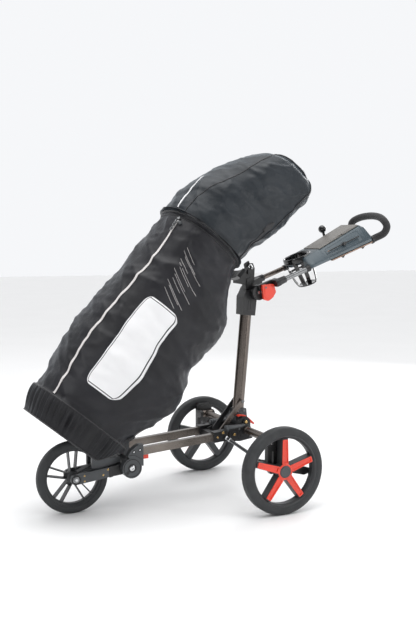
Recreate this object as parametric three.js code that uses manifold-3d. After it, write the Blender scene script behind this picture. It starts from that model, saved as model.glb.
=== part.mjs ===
// Golf push trolley: a flat-folding three-wheel trolley that carries a golf bag under a rain cover.
// Millimetres. +X is the trolley's left, -Y its front, +Z up. The model is laid out from the point on
// the ground below the rear axle, and the whole group is then moved so that its origin is the centre of
// its bounding box's base.
import * as THREE from 'three';
import { mergeVertices } from 'three/addons/utils/BufferGeometryUtils.js';
import Module from 'manifold-3d';

const wasm = await Module();
wasm.setup();

// ---------- driving dimensions ----------
const GAP = 0.3;                 // between pieces that touch
const DEG = Math.PI / 180;

const REAR_WHEEL_RADIUS = 145;
const FRONT_WHEEL_RADIUS = 120;
const WHEELBASE = 620;
const HALF_TRACK = 311;          // to a rear wheel's middle plane
const REAR_WHEEL_WIDTH = 40;
const FRONT_WHEEL_WIDTH = 34;
const WHEEL_SIDES = 40;

const RAIL_X = 60;               // rails run fore and aft at this distance from the middle
const RAIL_WIDTH = 20;
const RAIL_HEIGHT = 26;
const RAIL_FRONT_Y = -401;
const RAIL_REAR_Y = 0;
const RAIL_SLOPE = 0.078;        // rise per mm towards the rear
const RAIL_Z_AT_AXLE = 228.3;    // centre line height at Y 0

const AXLE_Y = -10;              // rear cross tubes
const AXLE_Z = 235;
const AXLE_RADIUS = 14;
const CARRIER_X = 250;           // fore-and-aft pin that a wheel carrier folds about

const MAIN_PIVOT = [0, 258];     // Y, Z of the pin that the upright folds about
const UPRIGHT_FOOT = [-5, 288];
const UPRIGHT_TOP = [27, 652];

const HANDLE_PIVOT = [53, 715];
const HANDLE_TILT = 20.7 * DEG;  // the handle's rise above level
const ARM_X = 80;
const ARM_RADIUS = 9;

const FORK_PIVOT = [-436, 145];
const FRONT_AXLE = [-WHEELBASE, FRONT_WHEEL_RADIUS];

const BAG_TILT = [0.633, 0.774]; // Y, Z of the direction that the bag's axis climbs in

// ---------- materials ----------
const paint = (color, roughness, metalness) =>
  new THREE.MeshStandardMaterial({ color, roughness, metalness });
const titanium = paint(0x8c8074, 0.35, 0.85);
const slate = paint(0x4b4e50, 0.5, 0.1);
const blackPlastic = paint(0x1c1c1e, 0.5, 0.0);
const redPlastic = paint(0xe83a2c, 0.45, 0.0);
const rimPlastic = paint(0x3c3f42, 0.45, 0.0);
const tyreFoam = paint(0x3a3c3e, 0.8, 0.0);
const steel = paint(0xb5b8ba, 0.25, 1.0);
const gripFoam = paint(0x323234, 0.9, 0.0);
const lidPlastic = paint(0x736e69, 0.5, 0.0);
const consolePlastic = paint(0x4b5860, 0.5, 0.0);
const coverCloth = paint(0x26262b, 0.7, 0.0);
const hoodCloth = paint(0x323a42, 0.6, 0.0);

// ---------- shape helpers ----------
const trolley = new THREE.Group();

/** Turns a geometry with +Z as its length into one that runs along X, with its x and y as Y and Z. */
function alongX(geometry) {
  const basis = new THREE.Matrix4().makeBasis(
    new THREE.Vector3(0, 1, 0), new THREE.Vector3(0, 0, 1), new THREE.Vector3(1, 0, 0));
  return geometry.applyMatrix4(basis);
}

/** Six times the volume inside a closed mesh: negative where its faces point inwards. */
function signedVolume(vertices, triangles) {
  const corner = (index) => new THREE.Vector3().fromArray(vertices, 3 * index);
  let total = 0;
  for (let face = 0; face < triangles.length; face += 3) {
    const [a, b, c] = triangles.slice(face, face + 3).map(corner);
    total += a.dot(b.cross(c));
  }
  return total;
}

/** A closed manifold solid with the shape of a geometry. */
function solid(geometry) {
  const plain = geometry.index ? geometry.toNonIndexed() : geometry.clone();
  for (const name of Object.keys(plain.attributes)) {
    if (name !== 'position') plain.deleteAttribute(name);
  }
  const merged = mergeVertices(plain, 1e-4);
  const vertices = merged.attributes.position.array;
  const triangles = [];
  for (let face = 0; face < merged.index.count; face += 3) {
    const corners = [0, 1, 2].map((corner) => merged.index.getX(face + corner));
    if (new Set(corners).size === 3) triangles.push(...corners);
  }
  if (signedVolume(vertices, triangles) < 0) triangles.reverse();
  return new wasm.Manifold(new wasm.Mesh({
    numProp: 3, vertProperties: vertices, triVerts: new Uint32Array(triangles),
  }));
}

/** The geometry of a manifold solid. */
function geometryOf(body) {
  const mesh = body.getMesh();
  const geometry = new THREE.BufferGeometry();
  geometry.setAttribute('position', new THREE.BufferAttribute(mesh.vertProperties, 3));
  geometry.setIndex(new THREE.BufferAttribute(mesh.triVerts, 1));
  geometry.computeVertexNormals();
  return geometry;
}

/** Adds a named piece, made from a geometry or a manifold solid. */
function piece(name, shape, material) {
  const geometry = shape.isBufferGeometry ? shape : geometryOf(shape);
  const mesh = new THREE.Mesh(geometry, material);
  mesh.name = name;
  trolley.add(mesh);
  return mesh;
}

const union = (...bodies) => bodies.reduce((whole, body) => whole.add(body));

/** A box between two corners. */
function block(low, high) {
  const size = high.map((value, axis) => value - low[axis]);
  const middle = high.map((value, axis) => (value + low[axis]) / 2);
  return solid(new THREE.BoxGeometry(...size).translate(...middle));
}

/** A plate whose outline is in the Y-Z plane, from one X to another. */
function plate(outline, x0, x1) {
  const shape = new THREE.Shape(outline.map(([y, z]) => new THREE.Vector2(y, z)));
  const geometry = new THREE.ExtrudeGeometry(shape, { depth: x1 - x0, bevelEnabled: false });
  return solid(alongX(geometry).translate(x0, 0, 0));
}

/** A round bar from one point to another. */
function bar(from, to, radius, sides = 16, endRadius = radius) {
  const start = new THREE.Vector3(...from);
  const end = new THREE.Vector3(...to);
  const along = end.clone().sub(start);
  const geometry = new THREE.CylinderGeometry(endRadius, radius, along.length(), sides);
  const turn = new THREE.Quaternion().setFromUnitVectors(
    new THREE.Vector3(0, 1, 0), along.clone().normalize());
  geometry.applyQuaternion(turn);
  geometry.translate(...start.add(end).multiplyScalar(0.5).toArray());
  return solid(geometry);
}

/** A disc about an X axis through Y, Z. */
const disc = ([y, z], x0, x1, radius, sides = 24) => bar([x0, y, z], [x1, y, z], radius, sides);

/** A ring about X: its section is a closed outline of [x, radius] points. */
function ringAboutX(section, sides = WHEEL_SIDES) {
  const points = [...section, section[0]].map(([x, radius]) => new THREE.Vector2(radius, x));
  // half a side of turn leaves a flat of the ring at the bottom
  const geometry = new THREE.LatheGeometry(points, sides, Math.PI / sides);
  return solid(geometry.rotateZ(-Math.PI / 2));
}

/** Radius of a many-sided ring whose flats are a given distance from the axis. */
const acrossFlats = (radius, sides = WHEEL_SIDES) => radius / Math.cos(Math.PI / sides);

/** A point in the plane X = constant, measured along and across the handle from its pivot. */
function onHandle(along, across) {
  const cos = Math.cos(HANDLE_TILT);
  const sin = Math.sin(HANDLE_TILT);
  return [
    HANDLE_PIVOT[0] + along * cos - across * sin,
    HANDLE_PIVOT[1] + along * sin + across * cos,
  ];
}

/** The same for the bag: up its axis, and out from the upright towards the front. */
function onBag(up, out) {
  return [BAG_TILT[0] * up - BAG_TILT[1] * out, BAG_TILT[1] * up + BAG_TILT[0] * out];
}

/** A closed loft through rings, each an array of [x, y, z] with the same count. */
function loft(rings) {
  const count = rings[0].length;
  const middle = (ring) => [0, 1, 2].map(
    (axis) => ring.reduce((sum, point) => sum + point[axis], 0) / count);
  const points = [...rings.flat(), middle(rings[0]), middle(rings.at(-1))];
  const faces = [];
  for (let ring = 0; ring < rings.length - 1; ring += 1) {
    for (let side = 0; side < count; side += 1) {
      const next = (side + 1) % count;
      const a = ring * count + side;
      const b = ring * count + next;
      faces.push(a, b, b + count, a, b + count, a + count);
    }
  }
  const last = (rings.length - 1) * count;
  for (let side = 0; side < count; side += 1) {
    const next = (side + 1) % count;
    faces.push(next, side, points.length - 2);
    faces.push(last + side, last + next, points.length - 1);
  }
  const geometry = new THREE.BufferGeometry();
  geometry.setAttribute('position', new THREE.Float32BufferAttribute(points.flat(), 3));
  geometry.setIndex(faces);
  return solid(geometry);
}

// ---------- frame ----------
const railZ = (y) => RAIL_Z_AT_AXLE + RAIL_SLOPE * y;

/** A bar along a rail's line, grown by a margin on every side. */
function railBar(side, frontY, rearY, margin, width = RAIL_WIDTH, height = RAIL_HEIGHT) {
  const half = height / 2 + margin;
  const outline = [
    [frontY, railZ(frontY) - half], [rearY, railZ(rearY) - half],
    [rearY, railZ(rearY) + half], [frontY, railZ(frontY) + half],
  ];
  const x = side * RAIL_X;
  return plate(outline, x - width / 2 - margin, x + width / 2 + margin);
}

const SIDES = [[1, 'left'], [-1, 'right']];
const RAIL_WALL = 2.5;

for (const [side, word] of SIDES) {
  const bore = railBar(side, RAIL_FRONT_Y - 5, RAIL_REAR_Y + 5, -RAIL_WALL);
  piece(`${word}_rail`, railBar(side, RAIL_FRONT_Y, RAIL_REAR_Y, 0).subtract(bore), titanium);
}

/** The casting behind the rails: it holds their rear ends, the cross tubes and the main pivot. */
function hubCasting() {
  const cheek = [[-76, 243], [0, 248], [14, 238], [14, 204], [-36, 197], [-76, 202]];
  const middle = [[-46, 228], [-46, 206], [-34, 200], [14, 204], [14, 226]];
  const ear = [[-34, 215], [-26, 262], [-10, 276], [8, 276], [20, 262], [24, 215]];
  let body = union(
    plate(cheek, 46, 76), plate(cheek, -76, -46), plate(middle, -47, 47),
    plate(ear, 33, 47), plate(ear, -47, -33));
  for (const side of [1, -1]) {
    body = body.subtract(railBar(side, -90, RAIL_REAR_Y + GAP, GAP));
  }
  return body.subtract(disc(MAIN_PIVOT, -60, 60, 6 + GAP, 16));
}
piece('hub_casting', hubCasting(), blackPlastic);
piece('main_pivot_pin', union(
  disc(MAIN_PIVOT, -51, 51, 6, 16),
  disc(MAIN_PIVOT, 47 + GAP, 53, 10, 12),
  disc(MAIN_PIVOT, -53, -47 - GAP, 10, 12)), steel);

/** A rear cross tube, ending in the barrel that its wheel carrier folds about. */
function axleTube(side) {
  const tube = bar([side * 76.4, AXLE_Y, AXLE_Z], [side * CARRIER_X, AXLE_Y, AXLE_Z], AXLE_RADIUS, 20);
  const barrel = bar([side * CARRIER_X, -30, AXLE_Z], [side * CARRIER_X, 12, AXLE_Z], AXLE_RADIUS, 20);
  const bore = bar([side * CARRIER_X, -40, AXLE_Z], [side * CARRIER_X, 20, AXLE_Z], 5.6, 12);
  return union(tube, barrel).subtract(bore);
}
for (const [side, word] of SIDES) piece(`${word}_axle_tube`, axleTube(side), titanium);

/** The joint at the front of a rail that the front fork folds in. */
function frontKnuckle(side) {
  const box = [
    [-397, 222], [-396, 150], [-420, 150], [-452, 186], [-440, 205], [-424, 216], [-412, 222],
  ];
  const inner = side > 0 ? 50.5 : -75;
  const outer = side > 0 ? 75 : -50.5;
  const body = union(disc(FORK_PIVOT, inner, outer, 34, 28), plate(box, inner, outer));
  return body.subtract(railBar(side, RAIL_FRONT_Y - GAP, 0, GAP))
    .subtract(disc(FORK_PIVOT, -90, 90, 9 + GAP, 16));
}
for (const [side, word] of SIDES) piece(`${word}_front_knuckle`, frontKnuckle(side), slate);
piece('fork_pivot_shaft', disc(FORK_PIVOT, -73, 73, 9, 16), steel);

// ---------- upright, which folds forward about the main pivot ----------
/** An oval bar between two Y, Z points. */
function ovalBar([y0, z0], [y1, z1], halfX, halfY, sides = 20) {
  const length = Math.hypot(y1 - y0, z1 - z0);
  const shape = new THREE.Shape().absellipse(0, 0, halfX, halfY, 0, 2 * Math.PI);
  const geometry = new THREE.ExtrudeGeometry(shape, {
    depth: length, bevelEnabled: false, curveSegments: sides,
  });
  geometry.rotateX(-Math.atan2(y1 - y0, z1 - z0));
  return solid(geometry.translate(0, y0, z0));
}

function uprightFoot() {
  const neck = [[-24, 262], [-26, 300], [18, 300], [22, 262]];
  const body = union(disc(MAIN_PIVOT, -22, 22, 23, 24), plate(neck, -22, 22));
  const socket = ovalBar(UPRIGHT_FOOT, UPRIGHT_TOP, 15 + 2 * GAP, 21.5 + 2 * GAP);
  return body.subtract(disc(MAIN_PIVOT, -30, 30, 6 + GAP, 16)).subtract(socket);
}
piece('upright_foot', uprightFoot(), slate);
piece('upright_tube', ovalBar([UPRIGHT_FOOT[0], UPRIGHT_FOOT[1] + GAP], UPRIGHT_TOP, 15, 21.5), titanium);

/** The head on top of the tube: a socket, then a neck that carries the handle's pivot. */
function topBracket() {
  const outline = [
    [0, 636], [50, 632], [56, 690], [64, 708], [60, 728], [46, 732], [38, 722], [14, 722], [2, 700],
  ];
  const socket = ovalBar(UPRIGHT_FOOT, [UPRIGHT_TOP[0], UPRIGHT_TOP[1] + 1], 15 + 2 * GAP, 21.5 + 2 * GAP);
  return plate(outline, -26, 26).subtract(socket)
    .subtract(disc(HANDLE_PIVOT, -40, 40, 6 + GAP, 16));
}
piece('top_bracket', topBracket(), blackPlastic);

/** The arm that stands on the head and carries the cradle and the strap hook. */
const BAG_ARM_HALF = 14;
function bagArm() {
  const outline = [
    [18, 722.6], [38, 722.6], [44, 738], [52, 754], [54, 800], [47, 818], [33, 818], [24, 796],
    [18, 788],
  ];
  return plate(outline, -BAG_ARM_HALF, BAG_ARM_HALF);
}
piece('bag_arm', bagArm(), titanium);

/** Places a shape drawn across the bag (x, out from the upright) and extruded down the bag's axis. */
function acrossBag(geometry, up) {
  const basis = new THREE.Matrix4().makeBasis(
    new THREE.Vector3(1, 0, 0),
    new THREE.Vector3(0, -BAG_TILT[1], BAG_TILT[0]),
    new THREE.Vector3(0, -BAG_TILT[0], -BAG_TILT[1]));
  return solid(geometry.applyMatrix4(basis).translate(0, ...onBag(up, 0)));
}

/** A curved saddle that the bag's collar leans against, on a short strut from the arm. */
function bagCradle() {
  const inside = 230;
  const thick = 12;
  const reach = 22 * DEG;
  const middleOut = 746;
  const top = 602;
  const shape = new THREE.Shape();
  shape.absarc(0, middleOut, inside + thick, -Math.PI / 2 - reach, -Math.PI / 2 + reach, false);
  shape.absarc(0, middleOut, inside, -Math.PI / 2 + reach, -Math.PI / 2 - reach, true);
  const saddle = new THREE.ExtrudeGeometry(shape, { depth: 34, bevelEnabled: false, curveSegments: 8 });
  const strut = [[17.6, 742], [17.6, 790], [-8, 790], [-20, 775], [-18, 748]];
  return union(acrossBag(saddle, top), plate(strut, -BAG_ARM_HALF, BAG_ARM_HALF));
}
piece('bag_cradle', bagCradle(), blackPlastic);
piece('strap_hook', union(
  bar([BAG_ARM_HALF + GAP, 42, 802], [22, 42, 802], 4, 10),
  bar([20, 42, 802], [20, 31, 812], 3, 8)), steel);

/** The red pedal behind the upright's foot, which frees the fold. */
const pedal = [[25, 268], [25, 253], [38, 244], [51, 236], [56, 240], [42, 256], [32, 267]];
piece('fold_pedal', plate(pedal, -15, 15), redPlastic);

// ---------- slider, stays and rods: they link the upright to the wheel carriers ----------
const SLIDER_FRONT_Y = -135;
const SLIDER_REAR_Y = -85;
const STAY_TOP = [-2, 328];
const STAY_FOOT = [-88, 226];
const ROD_START = [84, -92, 216];
const ROD_END = [CARRIER_X, -52, 170];
const ROD_START_GAP = 5;
const ROD_END_GAP = 18;
const ROD_RADIUS = 6;

function sliderYoke() {
  const sleeve = (side, margin, spare) =>
    railBar(side, SLIDER_FRONT_Y - spare, SLIDER_REAR_Y + spare, margin);
  const lug = [[-112, 210], [-110, 230], [-92, 236], [-80, 230], [-79, 220], [-86, 212]];
  let body = union(
    sleeve(1, 5, 0), sleeve(-1, 5, 0), block([-52, -130, 209], [52, -108, 226]),
    plate(lug, 33, 39), plate(lug, -39, -33));
  for (const side of [1, -1]) {
    const [x, y, z] = ROD_START;
    body = union(body, bar([side * 70, y - 6, z], [side * (x - 4), y - 1, z], 7, 12));
  }
  return body.subtract(sleeve(1, 0.5, 9)).subtract(sleeve(-1, 0.5, 9));
}
piece('slider_yoke', sliderYoke(), blackPlastic);

/** A flat bar between two Y, Z points with round ends. */
function flatBar(from, to, x0, x1, half) {
  const [dy, dz] = [to[0] - from[0], to[1] - from[1]];
  const angle = Math.atan2(dz, dy);
  const shape = new THREE.Shape();
  shape.absarc(...from, half, angle + Math.PI / 2, angle + 3 * Math.PI / 2, false);
  shape.absarc(...to, half, angle - Math.PI / 2, angle + Math.PI / 2, false);
  const geometry = new THREE.ExtrudeGeometry(
    shape, { depth: x1 - x0, bevelEnabled: false, curveSegments: 8 });
  return solid(alongX(geometry).translate(x0, 0, 0));
}

for (const [side, word] of SIDES) {
  const [near, far] = [24.5, 31];
  const x0 = side > 0 ? near : -far;
  piece(`${word}_stay`, flatBar(STAY_TOP, STAY_FOOT, x0, x0 + far - near, 8), titanium);
}

/** A thin rod that stops short of both ball joints. */
function linkRod(side) {
  const start = new THREE.Vector3(side * ROD_START[0], ROD_START[1], ROD_START[2]);
  const end = new THREE.Vector3(side * ROD_END[0], ROD_END[1], ROD_END[2]);
  const along = end.clone().sub(start).normalize();
  start.addScaledVector(along, ROD_START_GAP);
  end.addScaledVector(along, -ROD_END_GAP);
  return bar(start.toArray(), end.toArray(), ROD_RADIUS, 12);
}
for (const [side, word] of SIDES) piece(`${word}_link_rod`, linkRod(side), steel);

// ---------- rear wheel carriers ----------
const CARRIER_PLATE = [266.5, 285];

function wheelCarrier(side) {
  const outline = [
    [-42, 150], [-30, 130], [10, 128], [18, 140], [18, 262], [8, 272], [-32, 272], [-42, 262],
  ];
  const [x0, x1] = side > 0 ? CARRIER_PLATE : CARRIER_PLATE.map((x) => -x).reverse();
  let body = plate(outline, x0, x1);
  for (const slotY of [4, -22]) {
    body = body.subtract(block([x0 - 1, slotY - 3.5, 163], [x1 + 1, slotY + 3.5, 205]));
  }
  for (const [y0, y1] of [[-42, -31.5], [13.5, 18]]) {
    const low = Math.min(side * CARRIER_X, side * 268);
    const high = Math.max(side * CARRIER_X, side * 268);
    body = union(
      body,
      bar([side * CARRIER_X, y0, AXLE_Z], [side * CARRIER_X, y1, AXLE_Z], AXLE_RADIUS, 20),
      block([low, y0, AXLE_Z - AXLE_RADIUS], [high, y1, AXLE_Z + AXLE_RADIUS]));
  }
  const [endX, endY, endZ] = ROD_END;
  return union(
    body,
    bar([side * CARRIER_X, -41, AXLE_Z], [side * CARRIER_X, 17, AXLE_Z], 5, 12),
    bar([side * 270, -38, endZ], [side * endX, endY, endZ], 4.5, 10),
    solid(new THREE.SphereGeometry(5.5, 12, 8).translate(side * endX, endY, endZ)));
}
for (const [side, word] of SIDES) {
  piece(`${word}_wheel_carrier`, wheelCarrier(side), blackPlastic);
  piece(`${word}_stub_axle`, union(
    disc([0, REAR_WHEEL_RADIUS], ...[side * 285.3, side * 289.5].sort((a, b) => a - b), 13, 16),
    disc([0, REAR_WHEEL_RADIUS], ...[side * 288, side * 323].sort((a, b) => a - b), 7, 14)), steel);
}

const brakeOutline = [
  [21, 134], [21, 148], [60, 142], [104, 139], [133, 129], [131, 118], [100, 112], [60, 122],
];
piece('brake_lever', plate(brakeOutline, 264, 282), blackPlastic);

// ---------- wheels ----------
/** Turns a solid by a number of degrees about an X axis through Y, Z. */
const turnAbout = (body, [y, z], degrees) =>
  body.translate([0, -y, -z]).rotate([degrees, 0, 0]).translate([0, y, z]);

/** A tyre with rounded shoulders on the rim radius. */
function tyre(middleX, centre, radius, rimRadius, width) {
  const half = width / 2;
  const tread = acrossFlats(radius);
  const section = [
    [-half + 3, rimRadius + GAP], [half - 3, rimRadius + GAP], [half, rimRadius + 7],
    [half - 0.8, radius - 11], [half - 3.5, radius - 4.5], [half - 8, tread], [-half + 8, tread],
    [-half + 3.5, radius - 4.5], [-half + 0.8, radius - 11], [-half, rimRadius + 7],
  ];
  return ringAboutX(section).translate([middleX, ...centre]);
}

/** A rim ring, a hub with a bore, and spokes made by a function of the spoke's own outline. */
function rim(middleX, centre, size) {
  const { ringInner, ringOuter, halfWidth, hubRadius, hubHalf, bore, spokes } = size;
  const ring = ringAboutX([
    [-halfWidth, ringInner], [-halfWidth, ringOuter], [halfWidth, ringOuter], [halfWidth, ringInner],
  ]);
  let body = union(ring, disc([0, 0], -hubHalf, hubHalf, hubRadius, 24));
  for (let spoke = 0; spoke < 5; spoke += 1) {
    for (const part of spokes) body = union(body, turnAbout(part, [0, 0], spoke * 72));
  }
  body = body.subtract(disc([0, 0], -60, 60, bore, 16));
  return body.translate([middleX, ...centre]);
}

const REAR_RIM_RADIUS = 119;
const SPOKE_FACE = 17;
const LINER_FACE = 20;
const spokeWindow = plate([[-7.5, 34], [7.5, 34], [5.5, 98], [-5.5, 98]], -30, 30);
const rearSpoke = plate([[-12, 14], [12, 14], [10, 110], [-10, 110]], -SPOKE_FACE, SPOKE_FACE)
  .subtract(spokeWindow);
const rearRimSize = {
  ringInner: 108, ringOuter: REAR_RIM_RADIUS, halfWidth: 19, hubRadius: 26, hubHalf: SPOKE_FACE,
  bore: 7.6, spokes: [rearSpoke],
};

/** Five red spoke liners on a ring around the hub cap. */
function spokeLiner(side) {
  const [x0, x1] = side > 0 ? [SPOKE_FACE + GAP, LINER_FACE] : [-LINER_FACE, -SPOKE_FACE - GAP];
  const arm = plate([[-11, 24], [11, 24], [8.5, 104], [-8.5, 104]], x0, x1).subtract(spokeWindow);
  let body = disc([0, 0], x0, x1, 27, 24);
  for (let spoke = 0; spoke < 5; spoke += 1) body = union(body, turnAbout(arm, [0, 0], spoke * 72));
  return body.subtract(disc([0, 0], x0 - 1, x1 + 1, 20.5, 24));
}

const rearCentre = [0, REAR_WHEEL_RADIUS];
for (const [side, word] of SIDES) {
  const x = side * HALF_TRACK;
  piece(`${word}_tyre`,
    tyre(x, rearCentre, REAR_WHEEL_RADIUS, REAR_RIM_RADIUS, REAR_WHEEL_WIDTH), tyreFoam);
  piece(`${word}_rim`, rim(x, rearCentre, rearRimSize), rimPlastic);
  piece(`${word}_spoke_liner`, spokeLiner(side).translate([x, ...rearCentre]), redPlastic);
  const cap = [SPOKE_FACE + GAP, LINER_FACE + 2].map((offset) => x + side * offset).sort((a, b) => a - b);
  piece(`${word}_hub_cap`, disc(rearCentre, ...cap, 20, 24), blackPlastic);
}

const FRONT_RIM_RADIUS = 97;
const BLADE = 1.8;               // half of a spoke blade's thickness
const frontSpokes = [-8, 8].map((foot) => {
  const tip = foot * 1.9;
  return plate([[foot - BLADE, 12], [foot + BLADE, 12], [tip + BLADE, 88], [tip - BLADE, 88]], -14, 14);
});
piece('front_tyre',
  tyre(0, FRONT_AXLE, FRONT_WHEEL_RADIUS, FRONT_RIM_RADIUS, FRONT_WHEEL_WIDTH), tyreFoam);
piece('front_rim', rim(0, FRONT_AXLE, {
  ringInner: 86, ringOuter: FRONT_RIM_RADIUS, halfWidth: 14, hubRadius: 22, hubHalf: 20,
  bore: 6.6, spokes: frontSpokes,
}), rimPlastic);

// ---------- front fork ----------
const ARM_INNER = 34;
const ARM_OUTER = 47;
for (const [side, word] of SIDES) {
  const [x0, x1] = side > 0 ? [ARM_INNER, ARM_OUTER] : [-ARM_OUTER, -ARM_INNER];
  const outline = [[-620, 103], [-496, 118], [-496, 151], [-620, 137]];
  const body = union(disc(FRONT_AXLE, x0, x1, 17, 20), plate(outline, x0, x1));
  piece(`${word}_fork_arm`, body.subtract(disc(FRONT_AXLE, -60, 60, 6.3, 16)), slate);
}
piece('front_axle', union(
  disc(FRONT_AXLE, -50, 50, 6, 16),
  disc(FRONT_AXLE, ARM_OUTER + GAP, 51, 10, 12),
  disc(FRONT_AXLE, -51, -ARM_OUTER - GAP, 10, 12)), steel);

function forkBridge() {
  const neck = [[-495.7, 118], [-495.7, 151], [-436, 167], [-436, 123]];
  return union(disc(FORK_PIVOT, -47, 47, 22, 24), plate(neck, -47, 47))
    .subtract(disc(FORK_PIVOT, -60, 60, 9 + GAP, 16));
}
piece('fork_bridge', forkBridge(), blackPlastic);

/** The block on the fork that the bag's base stands on, cut away over the wheel. */
function bagRest() {
  const outline = [
    [-464, 160.8], [-464, 178], [-500, 178], [-548, 219], [-562, 209], [-562, 150], [-545, 140],
    [-496.2, 140], [-496.2, 152.2],
  ];
  const wheelWell = block([-20.5, -600, 100], [20.5, -494, 230]);
  return plate(outline, -33.6, 33.6).subtract(wheelWell);
}
piece('bag_rest', bagRest(), slate);
piece('fork_release', block([52, -394, 171], [68, -376, 184]), redPlastic);

// ---------- handle ----------
const CONSOLE_FRONT = 206;
const CONSOLE_REAR = 492;

function pivotClamp(side) {
  const mirror = (x0, x1) => (side > 0 ? [x0, x1] : [-x1, -x0]);
  const web = [onHandle(0, -14), onHandle(52, -4), onHandle(60, 2), onHandle(60, 26), onHandle(0, 27)];
  const yoke = [onHandle(56, 1), onHandle(74, 1), onHandle(74, 26), onHandle(56, 26)];
  const axis = (along) => [side * ARM_X, ...onHandle(along, 13.5)];
  return union(
    disc(HANDLE_PIVOT, ...mirror(26.5, 50), 27, 28), plate(web, ...mirror(45, 59.5)),
    plate(yoke, ...mirror(50, 90)), bar(axis(58), axis(98), 12.8, 20))
    .subtract(bar(axis(74), axis(110), ARM_RADIUS + GAP, 20))
    .subtract(disc(HANDLE_PIVOT, -70, 70, 6 + GAP, 16));
}

const leverOutline = [[12, 24], [54, 10], [52, -20], [12, -35], [-2, -24]]
  .map(([along, across]) => onHandle(along, across));
for (const [side, word] of SIDES) {
  piece(`${word}_pivot_clamp`, pivotClamp(side), blackPlastic);
  const [x0, x1] = side > 0 ? [60.2, 73] : [-73, -60.2];
  piece(`${word}_clamp_lever`, plate(leverOutline, x0, x1), redPlastic);
  const axis = (along) => [side * ARM_X, ...onHandle(along, 13.5)];
  piece(`${word}_handle_arm`, bar(axis(74.5), axis(CONSOLE_FRONT - GAP), ARM_RADIUS, 20), titanium);
}
piece('handle_pivot_bolt', disc(HANDLE_PIVOT, -53, 53, 6, 16), steel);

/** The place of [x, along, across], told from the handle's pivot. */
const handlePoint = ([x, along, across]) => [x, ...onHandle(along, across)];

const LID_FRONT = 282;
const LID_REAR = 470;
const CUP_ALONG = 212;
const CUP_RADIUS = 50;
const CUP_LEAN = 12;             // the cage's floor lies this much further back than its ring

/** The console's section at one place along the handle, wider below than above. */
function consoleRing(along, top) {
  const section = [
    [-92, 9], [92, 9], [92, 22], [60, top - 2], [54, top], [-54, top], [-60, top - 2], [-92, 22],
  ];
  return section.map(([x, across]) => handlePoint([x, along, across]));
}

/** A bar square to the handle's plane, at a place along it. */
const squareToHandle = (along, x, low, high, radius, sides, endRadius) =>
  bar(handlePoint([x, along, low]), handlePoint([x, along, high]), radius, sides, endRadius);

function handleConsole() {
  const body = loft([
    consoleRing(CONSOLE_FRONT, 52), consoleRing(LID_FRONT - 4, 57), consoleRing(LID_FRONT, 54),
    consoleRing(LID_REAR, 76), consoleRing(LID_REAR + 1, 80), consoleRing(CONSOLE_REAR, 62),
  ]);
  const trayCorners = (across, grow) => [[-46, 300], [46, 300], [46, 455], [-46, 455]]
    .map(([x, along]) => handlePoint([x * grow, along, across]));
  const tray = loft([trayCorners(26, 1), trayCorners(95, 1.001)]);
  return body.subtract(squareToHandle(CUP_ALONG, 0, -20, 90, CUP_RADIUS + GAP, 28)).subtract(tray);
}
piece('console', handleConsole(), consolePlastic);

/** The lid over the console's tray. */
function consoleLid() {
  const sheet = (along, low, high) => [[-54, low], [54, low], [54, high], [-54, high]]
    .map(([x, across]) => handlePoint([x, along, across]));
  return loft([sheet(LID_FRONT + 0.5, 54.5, 59), sheet(LID_REAR - 0.5, 76.4, 83)]);
}
piece('console_lid', consoleLid(), lidPlastic);

/** A drinks holder: a ring at the top, four bars and a floor. */
function cupCage() {
  const ring = squareToHandle(CUP_ALONG, 0, 40, 56, CUP_RADIUS, 28)
    .subtract(squareToHandle(CUP_ALONG, 0, 30, 70, CUP_RADIUS - 7, 24));
  const floor = squareToHandle(CUP_ALONG + CUP_LEAN, 0, -60, -55, 36, 24);
  let body = union(ring, floor);
  for (let turn = 0; turn < 4; turn += 1) {
    const angle = (turn * 90 + 45) * DEG;
    const place = (radius, lean, across) =>
      handlePoint([radius * Math.sin(angle), CUP_ALONG + lean + radius * Math.cos(angle), across]);
    body = union(body, bar(place(33, CUP_LEAN, -58), place(CUP_RADIUS - 3.5, 0, 44), 3.4, 8));
  }
  return body;
}
piece('cup_cage', cupCage(), blackPlastic);

/** The foam grip: a wide loop that climbs from the console's rear end. */
function gripLoop() {
  const half = [
    [82, CONSOLE_REAR + 2, 14], [84, 510, 15], [103, 536, 22], [113, 550, 42], [102, 554, 64],
    [62, 564, 77],
  ];
  const mirrored = half.map(([x, along, across]) => [-x, along, across]).reverse();
  const points = [...half, [0, 570, 81], ...mirrored]
    .map((point) => new THREE.Vector3(...handlePoint(point)));
  const section = new THREE.Shape().absarc(0, 0, 13.5, 0, 2 * Math.PI);
  return solid(new THREE.ExtrudeGeometry(section, {
    steps: 44, curveSegments: 5, bevelEnabled: false, extrudePath: new THREE.CatmullRomCurve3(points),
  }));
}
piece('grip_loop', gripLoop(), gripFoam);

const KNOB = [-78, 400, 92];
piece('ball_knob', union(
  squareToHandle(KNOB[1], KNOB[0], 45, KNOB[2], 5, 10),
  solid(new THREE.SphereGeometry(15, 16, 12).translate(...handlePoint(KNOB)))), blackPlastic);

// ---------- golf bag under its rain cover ----------
/** A rounded cross-section of the bag: rear and front are its distances out from the upright. */
function bagRing([up, rear, front, halfWidth]) {
  const count = 22;
  const squareness = 2.4;
  const middle = (rear + front) / 2;
  const half = (front - rear) / 2;
  const bend = (value) => Math.sign(value) * Math.abs(value) ** (2 / squareness);
  return Array.from({ length: count }, (_, index) => {
    const angle = (index / count) * 2 * Math.PI;
    return [halfWidth * bend(Math.cos(angle)), ...onBag(up, middle - half * bend(Math.sin(angle)))];
  });
}

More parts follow.
